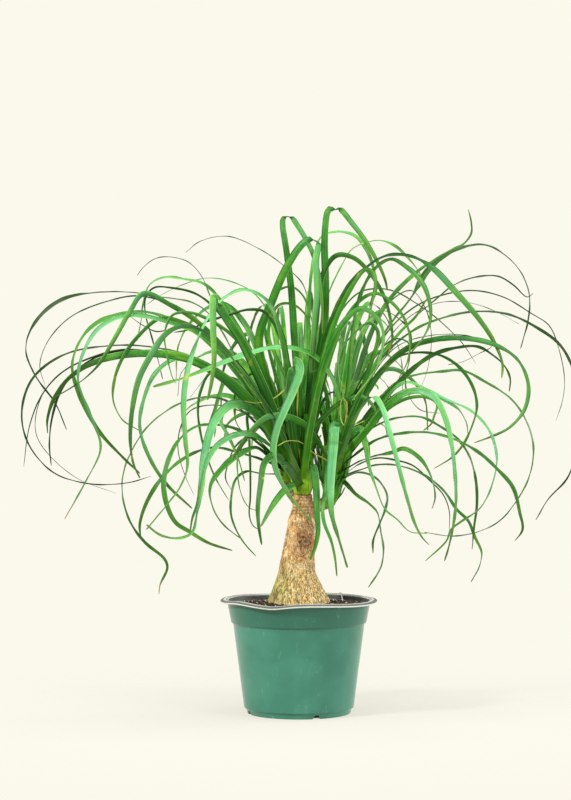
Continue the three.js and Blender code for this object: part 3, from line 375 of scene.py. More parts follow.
def ring_faces(rings, sides, first=0):
    """Quads between rings of points that follow each other, anticlockwise round the way ahead."""
    i, j = np.meshgrid(np.arange(rings - 1), np.arange(sides), indexing="ij")
    a = first + i * sides + j
    b = first + i * sides + (j + 1) % sides
    return np.stack([a, b, b + sides, a + sides], axis=-1).reshape(-1, 4)


def fan(centre, ring, outward):
    """Triangles from a centre point to a ring, facing along the ring's own axis or against it."""
    after = np.roll(ring, -1)
    order = [ring, after] if outward else [after, ring]
    return np.stack([np.full(len(ring), centre), *order], axis=-1)


def closed_body(rings, start, end):
    """Points and faces of a body made of rings, closed by a fan round a point at either end."""
    points = np.vstack([*rings, start, end])
    sides = len(rings[0])
    first = np.arange(sides)
    last = (len(rings) - 1) * sides + first
    faces = [*ring_faces(len(rings), sides), *fan(len(points) - 2, first, False),
             *fan(len(points) - 1, last, True)]
    return points, faces


def circle(count):
    """So many angles, evenly round a circle."""
    return np.arange(count) / count * 2 * math.pi


def ring_at(angles, reach, z, x=0, y=0):
    """Points round an upright axis, at their reach from it and their height."""
    return np.stack([x + reach * np.cos(angles), y + reach * np.sin(angles), z + 0 * angles], axis=-1)


def turned(profile, sides):
    """Points and faces of a closed body turned about the Z axis. The profile runs from the axis, out
    along its underside and back to the axis."""
    rings = [ring_at(circle(sides), radius, z) for radius, z in profile[1:-1]]
    return closed_body(rings, [0, 0, profile[0, 1]], [0, 0, profile[-1, 1]])


def rounded(profile, radius, steps=4):
    """The profile with each corner but the ends eased by a short curve."""
    profile = np.asarray(profile, float)
    out = [profile[0]]
    for before, corner, after in zip(profile, profile[1:], profile[2:]):
        back, ahead = before - corner, after - corner
        cut = min(radius, 0.45 * np.linalg.norm(back), 0.45 * np.linalg.norm(ahead))
        start, end = corner + unit(back) * cut, corner + unit(ahead) * cut
        for t in np.linspace(0, 1, steps + 1):
            out.append((1 - t) ** 2 * start + 2 * t * (1 - t) * corner + t ** 2 * end)
    return np.array([*out, profile[-1]])


def split_long(profile, most):
    """The profile with its long straight stretches divided."""
    out = [profile[0]]
    for a, b in zip(profile, profile[1:]):
        count = max(1, math.ceil(np.linalg.norm(b - a) / most))
        out += [lerp(a, b, (k + 1) / count) for k in range(count)]
    return np.array(out)


# Materials
def plug(tree, socket, value):
    """Gives a socket its value, or links it to the socket that the value comes from."""
    if isinstance(value, bpy.types.NodeSocket):
        tree.links.new(value, socket)
    elif isinstance(value, tuple) and len(value) == 3 and socket.type == "RGBA":
        socket.default_value = (*value, 1)
    else:
        socket.default_value = value


def add_node(tree, kind, inputs, out=0, **settings):
    node = tree.nodes.new(kind)
    for key, value in settings.items():
        setattr(node, key, value)
    for key, value in inputs.items():
        plug(tree, node.inputs[key], value)
    return node.outputs[out]


class Finish:
    """A node material whose colour, roughness and relief are worked out from place and from the values
    that the mesh's points hold."""

    def __init__(self, name):
        self.material = bpy.data.materials.new(name)
        self.material.use_nodes = True
        self.tree = self.material.node_tree
        self.shader = self.tree.nodes["Principled BSDF"]

    def node(self, kind, inputs, out=0, **settings):
        return add_node(self.tree, kind, inputs, out, **settings)

    def value(self, name):
        return self.node("ShaderNodeAttribute", {}, "Fac", attribute_name=name)

    def place(self, scale=(1, 1, 1)):
        """Where a point lies, in millimetres, each axis scaled."""
        spot = self.node("ShaderNodeTexCoord", {}, "Object")
        return self.node("ShaderNodeVectorMath", {0: spot, 1: tuple(s / MM for s in scale)},
                         operation="MULTIPLY")

    def axis(self, name, vector=None):
        """One of the three numbers of a place or a colour."""
        return self.node("ShaderNodeSeparateXYZ", {0: self.place() if vector is None else vector}, name)

    def away(self, point, scale=(1, 1, 1)):
        """How far a place lies from a point, each axis scaled."""
        return self.node("ShaderNodeVectorMath", {0: self.place(scale), 1: point}, "Value",
                         operation="DISTANCE")

    def noise(self, vector, scale, detail=4, rough=0.55):
        return self.node("ShaderNodeTexNoise", {
            "Vector": vector, "Scale": scale, "Detail": detail, "Roughness": rough}, "Fac")

    def cells(self, vector, scale, feature="F1"):
        return self.node("ShaderNodeTexVoronoi", {"Vector": vector, "Scale": scale}, "Distance",
                         feature=feature)

    def math(self, operation, a, b=0.0):
        return self.node("ShaderNodeMath", {0: a, 1: b}, operation=operation)

    def times(self, a, b):
        return self.math("MULTIPLY", a, b)

    def span(self, value, low, high, to_low=0.0, to_high=1.0):
        return self.node("ShaderNodeMapRange", {
            "Value": value, "From Min": low, "From Max": high, "To Min": to_low, "To Max": to_high},
            interpolation_type="SMOOTHSTEP")

    def mix(self, factor, a, b):
        return self.node("ShaderNodeMix", {0: factor, 6: a, 7: b}, 2, data_type="RGBA")

    def tint(self, colour, value, low, high, share, other):
        """A colour that turns by a share into another as a value passes from low to high."""
        return self.mix(self.span(value, low, high, 0.0, share), colour, other)

    def ramp(self, factor, stops):
        node = self.tree.nodes.new("ShaderNodeValToRGB")
        stops = sorted(stops)
        elements = node.color_ramp.elements
        while len(elements) < len(stops):
            elements.new(0.5)
        for element, (position, colour) in zip(elements, stops):
            element.position = position
            element.color = (*colour, 1)
        plug(self.tree, node.inputs[0], factor)
        return node.outputs[0]

    def bump(self, height, distance, strength=1.0):
        """Relief from a height between 0 and 1 that stands for so many millimetres."""
        return self.node("ShaderNodeBump", {
            "Height": height, "Distance": distance * MM, "Strength": strength})

    def finish(self, colour, rough, relief=None, **settings):
        settings |= {"Base_Color": colour, "Roughness": rough}
        if relief is not None:
            settings["Normal"] = relief
        for key, value in settings.items():
            plug(self.tree, self.shader.inputs[key.replace("_", " ")], value)
        return self.material


def pot_green():
    f = Finish("pot_green")
    cloud = f.noise(f.place(), 0.03, 3)
    colour = f.mix(f.span(cloud, 0.35, 0.7), (0.024, 0.145, 0.093), (0.034, 0.175, 0.117))
    band = f.span(f.axis("Z"), BAND_FOOT - 2, BAND_FOOT + 2)
    colour = f.mix(f.times(band, 0.8), colour, (0.013, 0.1, 0.06))
    # painted shade: a darker line along the step where the band stands out over the wall below
    from_crease = f.math("ABSOLUTE", f.math("SUBTRACT", f.axis("Z"), BAND_FOOT))
    crease_shade = f.span(from_crease, 1.4, 0.2)
    colour = f.mix(f.times(crease_shade, 0.4), colour, (0.03, 0.13, 0.085))
    dust = f.span(f.cells(f.place(), 0.24), 0.1, 0.03)
    smear = f.span(f.noise(f.place((1, 1, 0.35)), 0.12, 6, 0.7), 0.58, 0.75)
    marks = f.math("MAXIMUM", f.times(dust, f.span(f.noise(f.place(), 0.05), 0.45, 0.65)),
                   f.times(smear, 0.25))
    colour = f.mix(f.times(marks, 0.62), colour, (0.42, 0.62, 0.5))
    rough = f.math("ADD", f.span(cloud, 0.3, 0.7, 0.16, 0.24), f.times(marks, 0.3))
    relief = f.bump(f.noise(f.place(), 0.035, 2), 1.2, 0.5)
    return f.finish(colour, rough, relief)


def pot_grey():
    """The lip is grey on top, with painted white highlights along its crest and its lower outer face, and
    the inside of the pot is a dark slate crossed by two painted light lines.
    """
    f = Finish("pot_grey")
    below, lip = f.value("below_lip"), f.value("lip")
    # painted highlights: light lines on the inner wall, just under the crest and lower down
    inside = f.ramp(f.math("DIVIDE", below, 16.0), [
        (0.0, (0.1, 0.11, 0.1)), (0.07, (0.5, 0.51, 0.45)), (0.12, (0.05, 0.056, 0.052)),
        (0.2, (0.014, 0.017, 0.016)), (0.34, (0.014, 0.018, 0.017)), (0.4, (0.09, 0.1, 0.1)),
        (0.5, (0.016, 0.02, 0.02)), (1.0, (0.018, 0.023, 0.024))])
    # painted highlights: a light line on the lip's crest and white on its lower outer face, with the grey
    # top between them
    edge = f.ramp(f.math("DIVIDE", below, 4.0), [
        (0.0, (0.5, 0.51, 0.46)), (0.05, (0.45, 0.46, 0.42)), (0.1, (0.075, 0.085, 0.08)),
        (0.46, (0.075, 0.085, 0.08)), (0.56, (0.86, 0.86, 0.8)), (1.0, (0.86, 0.86, 0.8))])
    colour = f.mix(lip, inside, edge)
    wear = f.noise(f.place((1, 1, 3)), 0.12, 4, 0.6)
    colour = f.tint(colour, wear, 0.45, 0.7, 0.2, (0.2, 0.21, 0.19))
    dust = f.times(f.span(f.noise(f.place(), 0.4, 6, 0.75), 0.5, 0.75), 0.2)
    colour = f.mix(dust, colour, (0.2, 0.16, 0.12))
    rough = f.math("ADD", f.times(dust, 0.8), 0.5)
    return f.finish(colour, rough, f.bump(wear, 0.1, 0.4), Specular_IOR_Level=0.25)


def soil_mix():
    f = Finish("soil_mix")
    grain = f.noise(f.place(), 0.55, 8, 0.75)
    colour = f.ramp(grain, [
        (0.25, (0.004, 0.003, 0.002)), (0.45, (0.018, 0.011, 0.007)), (0.6, (0.05, 0.031, 0.019)),
        (0.75, (0.12, 0.078, 0.045))])
    fibre = f.span(f.noise(f.place((1, 0.2, 1)), 1.1, 4, 0.7), 0.66, 0.74)
    colour = f.mix(f.times(fibre, 0.5), colour, (0.3, 0.2, 0.11))
    relief = f.bump(f.math("ADD", grain, f.cells(f.place(), 0.45)), 1.2)
    return f.finish(colour, 0.95, relief, Specular_IOR_Level=0.2)


def bits_finish():
    f = Finish("soil_bits")
    colour = f.ramp(f.value("tone"), [
        (0.0, (0.015, 0.009, 0.006)), (0.5, (0.05, 0.028, 0.014)), (0.75, (0.13, 0.078, 0.038)),
        (0.88, (0.36, 0.26, 0.14)), (0.95, (0.72, 0.68, 0.58)), (1.0, (0.85, 0.83, 0.76))])
    grain = f.noise(f.place((1, 1, 3)), 0.9, 5, 0.7)
    colour = f.mix(f.span(grain, 0.35, 0.7), colour, f.mix(0.6, colour, (0.02, 0.013, 0.008)))
    return f.finish(colour, 0.9, f.bump(grain, 0.5))


WOUND = (5, -15, 181)
WOUND_SPOTS = [(6.6, 180.5), (0.6, 180), (4.5, 185)]  # dark dots in the old wound: across, up


def bark():
    f = Finish("bark")
    place, height, fissure = f.place(), f.axis("Z"), f.value("fissure")
    flare = f.span(height, 168, 130)
    # plates a few millimetres wide, parted by dark cracks
    push = f.node("ShaderNodeTexNoise", {"Vector": place, "Scale": 0.3, "Detail": 3.0}, "Color")
    spot = f.node("ShaderNodeVectorMath", {0: push, 1: (5.0, 5.0, 5.0), 2: f.place((1, 1, 0.6))},
                  operation="MULTIPLY_ADD")
    plate = f.node("ShaderNodeTexVoronoi", {"Vector": spot, "Scale": 0.32}, "Color")
    seam = f.span(f.cells(spot, 0.32, "DISTANCE_TO_EDGE"), 0.14, 0.03)
    coarse = f.noise(f.place((1, 1, 0.7)), 0.14, 4, 0.6)
    fine = f.noise(f.place((1, 1, 0.32)), 0.75, 4, 0.7)
    colour = f.ramp(coarse, [
        (0.32, (0.38, 0.18, 0.06)), (0.45, (0.6, 0.33, 0.12)), (0.56, (0.74, 0.47, 0.17)),
        (0.7, (0.86, 0.64, 0.28))])
    colour = f.mix(f.times(flare, 0.7), colour, (0.68, 0.54, 0.2))
    colour = f.tint(colour, f.axis("X", plate), 0.55, 1, 0.55, (0.58, 0.3, 0.15))
    colour = f.tint(colour, f.axis("Y", plate), 0.6, 1, 0.6, (0.92, 0.78, 0.48))
    # green streaks low down on the left of the flare
    streaks = f.noise(f.place((1, 1, 0.12)), 0.28, 5, 0.7)
    left = f.span(f.axis("X"), 12, -26)
    green = f.times(f.times(f.span(height, 175, 125), left),
                   f.span(streaks, 0.38, 0.62))
    colour = f.mix(f.times(green, 0.9), colour, (0.33, 0.38, 0.06))
    # brown patches: round the old wound at mid height and under the heads
    wound = f.times(f.span(f.away(WOUND), 22, 7), f.span(coarse, 0.3, 0.55, 1.0, 0.5))
    top = f.times(f.span(height, 207, 221), f.span(coarse, 0.3, 0.62, 0.75, 0.3))
    colour = f.mix(f.math("MAXIMUM", f.times(wound, 0.75), top), colour, (0.3, 0.125, 0.05))
    front = f.span(f.axis("Y"), 0, -4)
    for across, up in WOUND_SPOTS:
        dot = f.span(f.away((across, 0, up), (1, 0, 1)), 2.6, 0.6, 0.0, 0.85)
        colour = f.mix(f.times(dot, front), colour, (0.06, 0.02, 0.01))
    # cracks, dark dots, and a painted highlight that makes the raised ridges pale
    grooves = f.span(f.noise(f.place((1, 1, 0.1)), 0.55, 4, 0.65), 0.5, 0.4)
    cells = f.times(seam, f.span(f.noise(place, 0.11, 3), 0.42, 0.62, 0.0, 0.65))
    splits = f.span(f.noise(f.place((1, 1, 0.22)), 0.34, 5, 0.7), 0.44, 0.37, 0.0, 0.8)
    cracks = f.mix(f.times(flare, 0.75), f.math("MAXIMUM", cells, splits), grooves)
    colour = f.mix(f.times(cracks, 0.9), colour, (0.1, 0.045, 0.016))
    colour = f.tint(colour, fissure, 0.25, 0.9, 0.9, (0.09, 0.042, 0.018))
    colour = f.tint(colour, fine, 0.48, 0.36, 0.65, (0.2, 0.1, 0.035))
    # painted highlight: pale where the fine relief stands highest
    colour = f.tint(colour, fine, 0.56, 0.72, 0.55, (0.98, 0.82, 0.46))
    relief = f.bump(f.math("SUBTRACT", fine, f.times(cracks, 0.6)), 1.6)
    return f.finish(colour, f.span(fine, 0.3, 0.7, 0.62, 0.85), relief, Specular_IOR_Level=0.25)


def leaf_green():
    f = Finish("leaf_green")
    along, across, tone = f.value("along"), f.value("across"), f.value("tone")
    colour = f.ramp(along, [
        (0.0, (0.36, 0.56, 0.02)), (0.05, (0.16, 0.44, 0.008)), (0.14, (0.045, 0.26, 0.006)),
        (0.3, (0.02, 0.175, 0.008)), (0.65, (0.032, 0.205, 0.013)), (0.9, (0.05, 0.14, 0.005)),
        (1.0, (0.05, 0.09, 0.004))])
    colour = f.mix(f.span(tone, 0.0, 0.5, 0.8, 0.0), colour, (0.005, 0.062, 0.005))
    colour = f.tint(colour, tone, 0.55, 1.0, 0.6, (0.14, 0.41, 0.03))
    # lighter and yellower stretches along a blade
    cloud = f.noise(f.place(), 0.03, 4, 0.6)
    colour = f.tint(colour, cloud, 0.5, 0.68, 0.5, (0.13, 0.34, 0.02))
    colour = f.tint(colour, cloud, 0.5, 0.32, 0.5, (0.006, 0.08, 0.012))
    # painted sheen: a pale mint on an arching blade from its crest on, stronger on its upper side, for
    # light from above
    painted_sheen = f.times(f.value("pale"), f.span(f.value("upper"), 0, 1, 0.6, 1.0))
    painted_sheen = f.times(painted_sheen, f.span(cloud, 0.3, 0.62, 1.0, 0.55))
    colour = f.mix(painted_sheen, colour, (0.13, 0.39, 0.19))
    # fine parallel veins; one margin made light by a painted highlight, the other darker
    grain = f.node("ShaderNodeCombineXYZ", {
        0: f.times(across, 9.0), 1: f.times(along, 3.0),
        2: f.times(tone, 40.0)})
    veins = f.noise(grain, 1.0, 3, 0.6)
    colour = f.tint(colour, veins, 0.45, 0.66, 0.6, f.mix(0.45, colour, (0.25, 0.52, 0.1)))
    colour = f.tint(colour, veins, 0.5, 0.32, 0.6, f.mix(0.7, colour, (0.003, 0.03, 0.003)))
    colour = f.tint(colour, across, 0.8, 0.98, 0.7, f.mix(0.6, colour, (0.4, 0.62, 0.24)))
    colour = f.tint(colour, across, -0.6, -0.98, 0.8, f.mix(0.75, colour, (0.008, 0.045, 0.004)))
    # painted shade: far from the stem, and where they are thin and seen edge-on, the blades are darkened to
    # a dark olive
    from_stem = f.away((15, 0, 0), (1, 1, 0))
    thin = f.times(f.value("slim"), f.span(from_stem, 90, 200, 0.45, 1.0))
    olive_shade = f.math("MAXIMUM", f.span(from_stem, 200, 300, 0.0, 0.7), thin)
    colour = f.mix(olive_shade, colour, (0.011, 0.038, 0.004))
    # old blades are yellow, and some tips and a few spots have dried brown
    colour = f.mix(f.value("yellow"), colour, (0.45, 0.46, 0.08))
    blotch = f.times(f.span(f.noise(f.place(), 0.05, 4), 0.66, 0.74), 0.5)
    colour = f.mix(blotch, colour, (0.34, 0.4, 0.04))
    dry = f.times(f.span(along, 0.955, 0.99), f.value("dry"))
    colour = f.mix(dry, colour, (0.22, 0.14, 0.05))
    rough = f.math("ADD", f.span(veins, 0.3, 0.7, 0.34, 0.44), f.times(dry, 0.3))
    return f.finish(colour, rough, f.bump(veins, 0.25, 0.6), Specular_IOR_Level=0.12)


def shoot_white():
    f = Finish("shoot_white")
    mottle = f.noise(f.place(), 0.8, 3)
    return f.finish(f.mix(mottle, (0.86, 0.84, 0.74), (0.6, 0.58, 0.4)), 0.6, f.bump(mottle, 0.3))


# Pot
def bend_with_rim(points):
    """The thin wall is out of true: it sags left of the front and has a dent in its band."""
    x, y, z = points.T
    radius = np.hypot(x, y)
    from_front = np.arctan2(x, -y)
    degrees = np.degrees(from_front)
    share = smoothstep(z, BAND_FOOT, POT_HEIGHT) * smoothstep(radius, 40, 70)
    sag = -1.6 * bell(degrees, -20, 12) + 0.8 * bell(degrees, 0, 22) + 1.6 * bell(degrees, -52, 14)
    ripple = 0.4 * np.sin(3 * from_front + 1) + 0.3 * np.sin(5 * from_front)
    dent = 1.2 * bell(degrees, -36, 8) * bell(z, 103, 8) * smoothstep(radius, 60, 66)
    shrink = 1 - dent / np.maximum(radius, 1)
    return np.stack([x * shrink, y * shrink, z + share * (sag + ripple)], axis=1)


def build_pot():
    band = RIM_RADIUS - 11.6
    wall = band - 2
    outside = rounded([
        (0, 0), (FOOT_RADIUS, 0), (FOOT_RADIUS + 1.1, 5), (FOOT_RADIUS + 3.4, 6.2),
        (wall, BAND_FOOT), (band, BAND_FOOT + 1), (band + 2.7, POT_HEIGHT - 10.4),
        (band + 4, POT_HEIGHT - 4.0), (RIM_RADIUS - 1.4, POT_HEIGHT - 3.4),
        (RIM_RADIUS, POT_HEIGHT - 2.2), (RIM_RADIUS - 0.9, POT_HEIGHT - 0.7),
        (RIM_RADIUS - 5.6, POT_HEIGHT), (band + 3.6, POT_HEIGHT - 1),
        (band + 2.6 - WALL, POT_HEIGHT - 8), (band - WALL, BAND_FOOT + 1.5),
        (wall - WALL, BAND_FOOT), (FOOT_RADIUS + 3.4 - WALL, 6.5), (FOOT_RADIUS - 0.6, 4.2),
        (FOOT_RADIUS - 1.6, FLOOR_TOP), (0, FLOOR_TOP),
    ], 0.8)
    profile = split_long(outside, 3)
    points, faces = turned(profile, POT_SIDES)
    radius, height = np.vstack([np.repeat(profile[1:-1], POT_SIDES, axis=0), profile[[0, -1]]]).T
    values = {"below_lip": POT_HEIGHT - height, "lip": smoothstep(radius, band + 4.2, band + 5.6)}
    pot = make_piece("nursery_pot", bend_with_rim(points), faces,
                     [pot_green(), pot_grey()], values, sharp=70)
    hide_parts("pot")
    # the rolled lip and everything inside it are grey
    outer = np.argmax((profile[1:-1, 1] > POT_HEIGHT - 3.9) & (profile[1:-1, 0] > RIM_RADIUS - 4))
    grey = np.zeros(len(pot.data.polygons), int)
    grey[outer * POT_SIDES:] = 1
    grey[-2 * POT_SIDES:-POT_SIDES] = 0
    pot.data.polygons.foreach_set("material_index", grey)
    cut_notches(pot)


def cut_notches(pot):
    """Drain notches, evenly round the foot."""
    cutters = bpy.data.collections.new("notches")
    for i in range(NOTCH_COUNT):
        angle = math.radians(NOTCH_AZIMUTH + i * 360 / NOTCH_COUNT)
        ring = circle(NOTCH_SIDES)
        middle = FOOT_RADIUS - 1.2
        ends = [-(middle - NOTCH_REACH), -(middle + NOTCH_REACH)]
        rings = [np.stack([NOTCH_RADIUS * np.cos(ring), np.full(NOTCH_SIDES, y),
                           NOTCH_RADIUS * np.sin(ring)], 1) for y in ends]
        points, faces = closed_body(rings, [0, ends[0], 0], [0, ends[1], 0])
        mesh = new_mesh("notch", points, faces)
        mesh.transform(Matrix.Rotation(angle, 4, "Z"))
        cutters.objects.link(bpy.data.objects.new(f"notch_{i}", mesh))
    cut = pot.modifiers.new("notches", "BOOLEAN")
    cut.operand_type = "COLLECTION"
    cut.collection = cutters
    cut.solver = "EXACT"
    apply_modifiers(pot)
    for cutter in list(cutters.objects):
        bpy.data.objects.remove(cutter)
    bpy.data.collections.remove(cutters)


def apply_modifiers(piece):
    bpy.context.view_layer.update()
    seen = piece.evaluated_get(bpy.context.evaluated_depsgraph_get())
    mesh = bpy.data.meshes.new_from_object(seen)
    piece.modifiers.clear()
    piece.data = mesh


# Stem
def stem_at(z):
    """The stem's centre across and its radius at a height."""
    table = np.array(STEM, float)
    return np.interp(z, table[:, 0], table[:, 1]), np.interp(z, table[:, 0], table[:, 2])


def stem_reach(angle, z, radius):
    flare = smoothstep(radius, 14, 32)
    flute = 0.035 * flare * np.sin(5 * angle + 0.6) + 0.02 * np.sin(2 * angle + z / 30)
    return radius * (1 + flute)


def smoothed(values, width):
    """A row of values, averaged over its neighbours, with its ends kept."""
    padded = np.concatenate([np.full(width, values[0]), values, np.full(width, values[-1])])
    return np.convolve(padded, np.ones(2 * width + 1) / (2 * width + 1), "valid")


def bark_relief(angle, z, radius):
    """Depth in millimetres, and how much of a fissure a place on the bark is."""
    x, y = math.cos(angle), math.sin(angle)
    around = Vector((x * radius, y * radius, z))
    wide = noise.noise(around * 0.07)
    groove_at = Vector((x * 4.6, y * 4.6, z * 0.018 + 3))
    groove = 1 - abs(noise.noise(groove_at)) * 4
    crack_at = Vector((x * radius * 0.2, y * radius * 0.2, z * 0.42 + 1.5 * wide))
    crack = 1 - abs(noise.noise(crack_at)) * 5
    split_at = Vector((x * radius * 0.42, y * radius * 0.42, z * 0.1))
    split = 1 - abs(noise.noise(split_at)) * 6
    on_flare = float(smoothstep(z, 150, 128))
    in_middle = float(smoothstep(z, 128, 145) * smoothstep(z, 206, 192))
    at_top = float(smoothstep(z, 196, 208))
    scars = 0.5 + 0.5 * math.sin(z * 1.9 + 2 * wide)
    fissure = max(0.0, on_flare * groove * 0.75, in_middle * crack * 0.8, split * 0.5 * (1 - on_flare),
                  at_top * scars * 0.75)
    patch = 0.5 + 0.5 * noise.noise(around * 0.11 + Vector((5, 1, 2)))
    fissure *= 0.35 + 0.9 * patch
    shown = float(smoothstep(z, SOIL_LEVEL - 1, SOIL_LEVEL + 5))
    depth = 0.5 * wide - 0.95 * fissure + 0.25 * noise.noise(around * 0.9)
    return depth * shown, min(1.0, fissure)


def build_stem(material):
    heights = np.concatenate([np.linspace(STEM_FOOT, 108, 16), np.linspace(109, STEM_TOP, 150)])
    centres, radii = stem_at(heights)
    centres, radii = smoothed(centres, 3), smoothed(radii, 2)
    angles = circle(STEM_SIDES)
    points, fissures = [], []
    for z, centre, radius in zip(heights, centres, radii):
        reach = stem_reach(angles, z, radius)
        for angle, far in zip(angles, reach):
            depth, fissure = bark_relief(angle, z, far)
            points.append((centre + (far + depth) * math.cos(angle), (far + depth) * math.sin(angle), z))
            fissures.append(fissure)
    rings = np.reshape(points, (len(heights), STEM_SIDES, 3))
    points, faces = closed_body(rings, (centres[0], 0, heights[0]), (centres[-1], 0, heights[-1]))
    values = {"fissure": [*fissures, 0, 0.5]}
    stem = make_piece("stem", points, faces, material, values, sharp=60)
    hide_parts("trunk")


def build_side_stem(head, material):
    """A short side stem, ringed by the scars of old leaves."""
    sides, steps = 64, 60
    line = smooth_line(SIDE_STEMS[head], 20)
    places = spaced(line, steps)
    ahead = unit(np.gradient(places, axis=0))
    ahead[-1] = (0, 0, 1)
    side = unit(np.cross(ahead, (1, 0, 0)))
    up = np.cross(ahead, side)
    angles = circle(sides)
    points, fissures = [], []
    for i, (place, s, u) in enumerate(zip(places, side, up)):
        scar = 0.5 + 0.5 * math.sin(i * 0.95)
        for angle in angles:
            way = math.cos(angle) * s + math.sin(angle) * u
            rough = noise.noise(Vector(place + 6 * way) * 0.35)
            fissure = max(0.0, 0.7 * scar + 0.6 * rough)
            reach = SIDE_STEM_RADIUS + 0.35 * rough - 0.5 * fissure
            points.append(place + reach * way)
            fissures.append(fissure)
    points, faces = closed_body(np.reshape(points, (steps, sides, 3)), places[0], places[-1])
    make_piece(f"side_stem_{HEAD_NAMES[head]}", points, faces, material,
               {"fissure": [*fissures, 0.5, 0.5]}, sharp=60)


# Soil
SOIL_TOP = [(30, 2), (39, 1.6), (47, 0.6), (56, 0), (65, -1), (71, -3)]  # radius, above SOIL_LEVEL


def soil_height(x, y):
    radius = math.hypot(x, y)
    radii, levels = zip(*SOIL_TOP)
    lumps = math.sin(x / 5.1 + 1) * math.cos(y / 4.3) + 0.6 * math.sin((x + y) / 3.1)
    crumbs = noise.noise(Vector((x, y, 0)) * 0.35) + 0.6 * noise.noise(Vector((x, y, 7)) * 0.9)
    return SOIL_LEVEL + float(np.interp(radius, radii, levels)) + 0.9 * lumps + 0.9 * crumbs


def build_soil():
    """A closed body: up the pot's wall, over the lumpy top and down into the hole for the stem's foot."""
    wall_top = RIM_RADIUS - 13.6 - WALL - CLEARANCE
    floor = FLOOR_TOP + CLEARANCE
    wall = [
        (FOOT_RADIUS - 2, floor), (FOOT_RADIUS - 1, 4.6), (FOOT_RADIUS + 3 - WALL, 6.9), (63, 58),
        (wall_top, BAND_FOOT + 0.3), (wall_top + 1.4, BAND_FOOT + 2.4), (wall_top + 3, SOIL_LEVEL - 5),
    ]
    angles = circle(SOIL_SIDES)
    rings = [ring_at(angles, radius, z) for radius, z in wall]
    edge = ring_at(angles, wall_top + 3.1, 0)
    centre, radius = stem_at(SOIL_LEVEL + 2)
    hole = ring_at(angles, stem_reach(angles, SOIL_LEVEL + 2, radius) + CLEARANCE, 0, centre)
    for t in np.linspace(0, 1, 44):
        ring = lerp(edge, hole, t)
        ring[:, 2] = [soil_height(x, y) for x, y, _ in ring]
        rings.append(ring)
    rings = [bend_with_rim(ring) for ring in rings]
    for z in (106, 96, 84, 76, STEM_FOOT):
        centre, radius = stem_at(z)
        reach = stem_reach(angles, z, radius) + CLEARANCE
        rings.append(ring_at(angles, reach, z - CLEARANCE, centre))
    points, faces = closed_body(rings, [0, 0, floor], [-0.5, 0, STEM_FOOT - CLEARANCE])
    soil = make_piece("soil_body", points, faces, soil_mix())
    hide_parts("soil")


def chunk(chance, place, size):
    """A small irregular lump: an eight-cornered block with pushed corners."""
    points = []
    for x in (-1, 1):
        for y in (-1, 1):
            for z in (-1, 1):
                push = [0.55 + 0.45 * chance.draw() for _ in range(3)]
                points.append((x * push[0], y * push[1], z * push[2]))
    turn = Matrix.Rotation(chance.draw() * 2 * math.pi, 3, "Z") @ Matrix.Rotation(
        (chance.draw() - 0.5) * 0.9, 3, "X")
    body = np.array(points) * np.array(size) / 2 @ np.array(turn.transposed())
    faces = np.array([
        (0, 1, 3, 2), (4, 6, 7, 5), (0, 4, 5, 1), (2, 3, 7, 6), (0, 2, 6, 4), (1, 5, 7, 3)])
    return body + np.array(place), faces


def build_bits():
    """Bark chips, fibres and perlite grains that lie on the soil."""
    chance = Chance(771)
    points, faces, tones = [], [], []
    for _ in range(BIT_COUNT):
        angle = chance.draw() * 2 * math.pi
        radius = chance.between(BIT_SPREAD)
        x, y = radius * math.cos(angle), radius * math.sin(angle)
        kind = chance.draw()
        if kind < 0.6:
            size = (chance.between((1.2, 3.4)), chance.between((0.8, 2.0)), chance.between((0.5, 1.3)))
            tone = chance.between((0.0, 0.7))
        elif kind < 0.88:
            size = (chance.between((3.5, 8.0)), chance.between((0.4, 0.9)), chance.between((0.3, 0.7)))
            tone = chance.between((0.5, 0.8))
        else:
            size = tuple(chance.between((1.0, 2.3)) for _ in range(3))
            tone = chance.between((0.86, 1.0))
        if radius + size[0] / 2 > BIT_LIMIT:
            continue
        z = soil_height(x, y) + size[2] * 0.25
        body, sides = chunk(chance, (x, y, z), size)
        faces.append(sides + 8 * len(points))
        points.append(body)
        tones += [tone] * 8
    points = bend_with_rim(np.vstack(points))
    make_piece("soil_bits", points, np.vstack(faces), bits_finish(), {"tone": tones},
               sharp=30)


def build_shoot():
    """A small pale shoot that stands in the soil behind the stem, with a hooked top."""
    foot = (46.3, 45, soil_height(46.3, 45) - 1)
    line = [foot, (46.6, 45, foot[2] + 4), (45.8, 45, foot[2] + 7.5), (46.2, 44.6, foot[2] + 10),
            (44.6, 44, foot[2] + 11), (43.4, 43.8, foot[2] + 10.6)]
    places = spaced(smooth_line(line, 10), 30)
    ahead = unit(np.gradient(places, axis=0))
    side = unit(np.cross(ahead, (0, 1, 0)))
    up = np.cross(ahead, side)
    angles = circle(12)
    reach = 0.75 * (1 - 0.5 * np.linspace(0, 1, len(places)) ** 2)
    rings = [p + r * (np.outer(np.cos(angles), s) + np.outer(np.sin(angles), u))
             for p, r, s, u in zip(places, reach, side, up)]
    points, faces = closed_body(rings, places[0], places[-1])
    make_piece("shoot", points, faces, shoot_white())


